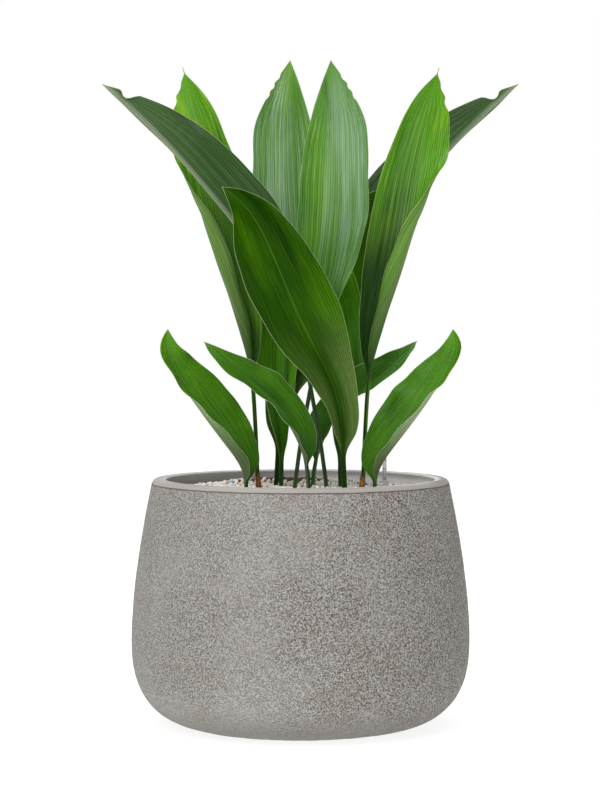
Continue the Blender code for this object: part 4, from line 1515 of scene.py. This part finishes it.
@dataclass
class GrowingMedium:
    """Dark potting mix under mineral granules, heaped a little about the stalks."""

    topping_node: str = "mineral_topping"
    radius: float = 0.1765
    bed_rise: float = 0.0008  # over the CAD topping's top
    rings: int = 70
    around: int = 180
    heap_rise: float = 0.0078
    bare_from: float = 0.52  # share of the heap beyond which no pale granules lie
    wall_gap: float = 0.004  # kept clear of granules' middles
    pale: GrainFinish = GrainFinish(
        "pale granules",
        ((240, 232, 220), (204, 222, 234), (250, 247, 242), (226, 206, 200), (238, 222, 200)),
    )
    dark: GrainFinish = GrainFinish(
        "dark granules",
        ((128, 84, 70), (160, 126, 120), (96, 74, 66), (178, 150, 132), (84, 60, 52)),
    )

    def level(self, x: Array, y: Array) -> Array:
        """Read the height of the bed, which is level again where it meets the wall.

        Args:
            x: Places across.
            y: Places ahead.

        Returns:
            Heights.
        """
        top = float(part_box(self.topping_node)[1][2])
        heap = self.heap_rise * self.heap(x, y)
        uneven = 0.0010 * waves(41, x / 0.05, y / 0.05, 1.0) + 0.0006 * waves(42, x / 0.016, y / 0.016, 1.0)
        edge = np.clip((np.hypot(x, y) - self.radius + 0.02) / 0.02, 0, 1)
        return top + self.bed_rise + (heap + uneven) * (1 - edge)

    @staticmethod
    def heap(x: Array, y: Array) -> Array:
        """Return how much of the bare heap of potting mix lies at a place, from 0 to 1."""
        return np.exp(-(((x + 0.020) / 0.085) ** 2) - ((y - 0.138) / 0.027) ** 2)

    def bed(self, name: str) -> bpy.types.Object:
        """Model the bed's upper surface with a short skirt and a floor, as one closed body.

        Args:
            name: Name for the object.

        Returns:
            The object.
        """
        angles = np.linspace(0, math.tau, self.around, endpoint=False)
        rings = []
        for share in np.linspace(0.004, 1, self.rings) ** 0.8:
            x, y = self.radius * share * np.cos(angles), self.radius * share * np.sin(angles)
            rings.append(np.stack([x, y, self.level(x, y)], axis=1))
        skirt = rings[-1].copy()
        skirt[:, 2] = float(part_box(self.topping_node)[0][2]) + 0.001
        return add_object(name, skin_rings(np.array([*rings, skirt])))

    def build(self) -> list[bpy.types.Object]:
        """Build the bed and its granules.

        Returns:
            The bed and the two families of granules.
        """
        bed = self.bed("potting_mix")
        bed.data.materials.append(CrumblyFinish("potting mix", (60, 43, 32), (16, 10, 7), 260.0).material())
        pieces = [bed]
        tree = scattered_grains()
        families = ((self.pale, 5, 0.0063, 0.0025, 0.0043), (self.dark, 9, 0.0125, 0.0018, 0.0030))
        for finish, seed, spacing, smallest, largest in families:
            values = {"Spacing": spacing, "Smallest": smallest, "Largest": largest, "Seed": seed}
            values |= {"Finish": finish.material(), "Density": 8e4}
            source = self.bed("grain ground")
            self._keep_top(source, thinned=finish is self.pale)
            piece = GeometryTree(tree).make(finish.name.replace(" ", "_"), source, values)
            pieces.append(piece)
        for piece in pieces:
            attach(piece, "pot_and_plant")
            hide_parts(self.topping_node)
        return pieces

    def _keep_top(self, ground: bpy.types.Object, thinned: bool) -> None:
        """Remove all but the faces that look up, clear of the wall and the gauge.

        Args:
            ground: The surface for a family of grains.
            thinned: Whether the bare heap is removed as well.
        """
        mesh = bmesh.new()
        mesh.from_mesh(ground.data)
        gone = []
        gauge = np.mean(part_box("gauge_tube"), axis=0)
        for face in mesh.faces:
            middle = face.calc_center_median()
            ragged = 0.16 * float(waves(43, middle.x / 0.012, middle.y / 0.012, 1.0))
            bare = thinned and float(self.heap(middle.x, middle.y)) + ragged > self.bare_from
            across, ahead = (middle.x - gauge[0]) / 0.0105, (middle.y - gauge[1] + 0.012) / 0.024
            bare = bare or across**2 + ahead**2 < 1
            if face.normal.z < 0.5 or middle.xy.length > self.radius - self.wall_gap or bare:
                gone.append(face)
        bmesh.ops.delete(mesh, geom=gone, context="FACES")
        mesh.to_mesh(ground.data)
        mesh.free()


# --------------------------------------------------------------------------------------------------
# Water gauge
# --------------------------------------------------------------------------------------------------


@dataclass
class WaterGauge:
    """The clear gauge tube with its marks; the moulded parts themselves come from the frame."""

    mark_heights: tuple[float, ...] = (0.3347, 0.3467, 0.3587)
    mark_width: float = 0.0009
    mark_depth: float = 0.0002  # to each side of the tube's surface

    def build(self) -> list[bpy.types.Object]:
        """Dress the gauge's CAD parts and print its marks.

        Returns:
            The marks.
        """
        finishes = {
            "gauge_shaft": Moulding.GREY, "gauge_collar": Moulding.GREY, "gauge_tube": Moulding.CLEAR,
            "gauge_cap": Moulding.CLEAR, "gauge_float": Moulding.WHITE, "gauge_tip": Moulding.RED,
        }
        made: dict[Moulding, bpy.types.Material] = {}
        for node, moulding in finishes.items():
            if moulding not in made:
                made[moulding] = moulding.material()
            dress(node, made[moulding])
        low, high = (np.array(corner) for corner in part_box("gauge_tube"))
        centre = (low + high) / 2
        radius = float(high[0] - low[0]) / 2
        mesh = bmesh.new()
        for height in self.mark_heights:
            outside, inside = radius + self.mark_depth, radius - self.mark_depth
            above = height + self.mark_width
            profile = [(inside, height), (outside, height), (outside, above), (inside, above)]
            band = turned(profile, (float(centre[0]), float(centre[1])), 48)
            data = bpy.data.meshes.new("band")
            band.to_mesh(data)
            band.free()
            mesh.from_mesh(data)
            bpy.data.meshes.remove(data)
        marks = add_object("gauge_marks", mesh, Moulding.YELLOW.material())
        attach(marks, "pot_and_plant")
        return [marks]


def dress(node: str, material: bpy.types.Material) -> None:
    """Put a material in every slot of a CAD node.

    Args:
        node: The node's name.
        material: Its new material.
    """
    obj = bpy.data.objects[node]
    if not obj.material_slots:
        obj.data.materials.append(material)
    for slot in obj.material_slots:
        slot.material = material


# --------------------------------------------------------------------------------------------------
# Studio
# --------------------------------------------------------------------------------------------------


@dataclass
class Studio:
    """A white room: pale floor, soft lights and the camera."""

    camera_place: Triple = (-0.0007, -3.5, 0.57)
    camera_pitch: float = -2.22  # degrees from level
    lens_mm: float = 118.3
    floor_chip: tuple[int, int, int] = (172, 172, 172)
    floor_glow: float = 0.82
    room_light: float = 0.58
    side_dimming: float = 1.36  # makes up in front and above for the room's dark sides

    def build(self) -> None:
        """Build the floor, the light and the camera."""
        scene = bpy.context.scene
        scene.view_settings.view_transform = "Standard"
        self._world(scene)
        self._floor()
        lights = (
            ("key", (-0.9, -2.9, 2.1), 1.5, 35.0),
            ("fill", (1.9, -1.8, 1.5), 1.6, 0.2),
            ("top", (-0.4, 0.2, 2.6), 1.2, 30.0),
        )
        for name, place, size, power in lights:
            self._softbox(name, place, size, power)
        data = bpy.data.cameras.new("camera")
        data.lens = self.lens_mm
        data.sensor_width = 36
        camera = bpy.data.objects.new("camera", data)
        camera.location = self.camera_place
        camera.rotation_euler = (math.radians(90 + self.camera_pitch), 0, 0)
        scene.collection.objects.link(camera)
        scene.camera = camera

    def _world(self, scene: bpy.types.Scene) -> None:
        """Light the scene from all round, a little less from the sides.

        Args:
            scene: The scene that gets the world.
        """
        world = bpy.data.worlds.new("studio")
        world.use_nodes = True
        w = Wiring(world.node_tree)
        background = world.node_tree.nodes["Background"]
        background.inputs["Color"].default_value = (1, 1, 1, 1)
        rays = w.node("ShaderNodeLightPath").outputs
        seen = w.math("MAXIMUM", rays["Is Camera Ray"], rays["Is Transmission Ray"])
        towards = w.node("ShaderNodeTexCoord").outputs["Generated"]
        sideways = w.node("ShaderNodeSeparateXYZ", None, Vector=towards).outputs[0]
        sides = w.rest(w.times(sideways, sideways))
        room = w.times(sides, self.room_light * self.side_dimming)
        w.feed(background.inputs["Strength"], w.math("MAXIMUM", seen, room))
        scene.world = world

    def _floor(self) -> None:
        """Lay the pale floor."""
        mesh = bmesh.new()
        bmesh.ops.create_grid(mesh, x_segments=2, y_segments=2, size=6.0)
        bmesh.ops.translate(mesh, verts=mesh.verts, vec=(0, 0, -0.0005))
        material, _, shader = start_material("studio floor")
        shader.inputs["Base Color"].default_value = paint(*self.floor_chip)
        shader.inputs["Roughness"].default_value = 0.9
        shader.inputs["Specular IOR Level"].default_value = 0.0
        shader.inputs["Emission Color"].default_value = (1, 1, 1, 1)
        shader.inputs["Emission Strength"].default_value = self.floor_glow
        floor = add_object("floor", mesh, material)

    @staticmethod
    def _softbox(name: str, place: Triple, size: float, power: float) -> None:
        """Hang a square soft light that faces the plant.

        Args:
            name: Light's name.
            place: Where it hangs.
            size: Its side.
            power: Its power in watts.
        """
        data = bpy.data.lights.new(name, "AREA")
        data.size = size
        data.energy = power
        light = bpy.data.objects.new(name, data)
        light.location = place
        aim = np.array((0, 0, 0.45)) - np.array(place)
        flat = math.hypot(aim[0], aim[1])
        tilt = math.pi / 2 - math.atan2(-aim[2], flat)
        light.rotation_euler = (tilt, 0, math.atan2(aim[1], aim[0]) - math.pi / 2)
        bpy.context.scene.collection.objects.link(light)


def hidden_parts() -> None:
    """Dress the soil and the rootstocks, which stay as the frame gives them."""
    dress("potting_soil", CrumblyFinish("deep soil", (64, 48, 36), (24, 17, 12), 220.0).material())
    bark = CrumblyFinish("rootstock", (146, 116, 78), (84, 60, 38), 300.0, 0.85).material()
    for place in ("left", "middle", "front", "right"):
        dress(f"rootstock_{place}", bark)


def main() -> None:
    """Build the looks around the frame."""
    logging.basicConfig(level=logging.INFO, format="%(message)s")
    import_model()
    Studio().build()
    LOG.info("studio ready")
    pot = Planter().build()
    LOG.info("%s: %d faces", pot.name, len(pot.data.polygons))
    for piece in GrowingMedium().build() + Foliage().build() + WaterGauge().build():
        LOG.info("%s: %d faces", piece.name, len(piece.data.polygons))
    for node in ("sheath_rolled_left", "sheath_rolled_right"):
        piece = Sheath(node).build()
        LOG.info("%s: %d faces", piece.name, len(piece.data.polygons))
    hidden_parts()


if __name__ == "__main__":
    main()
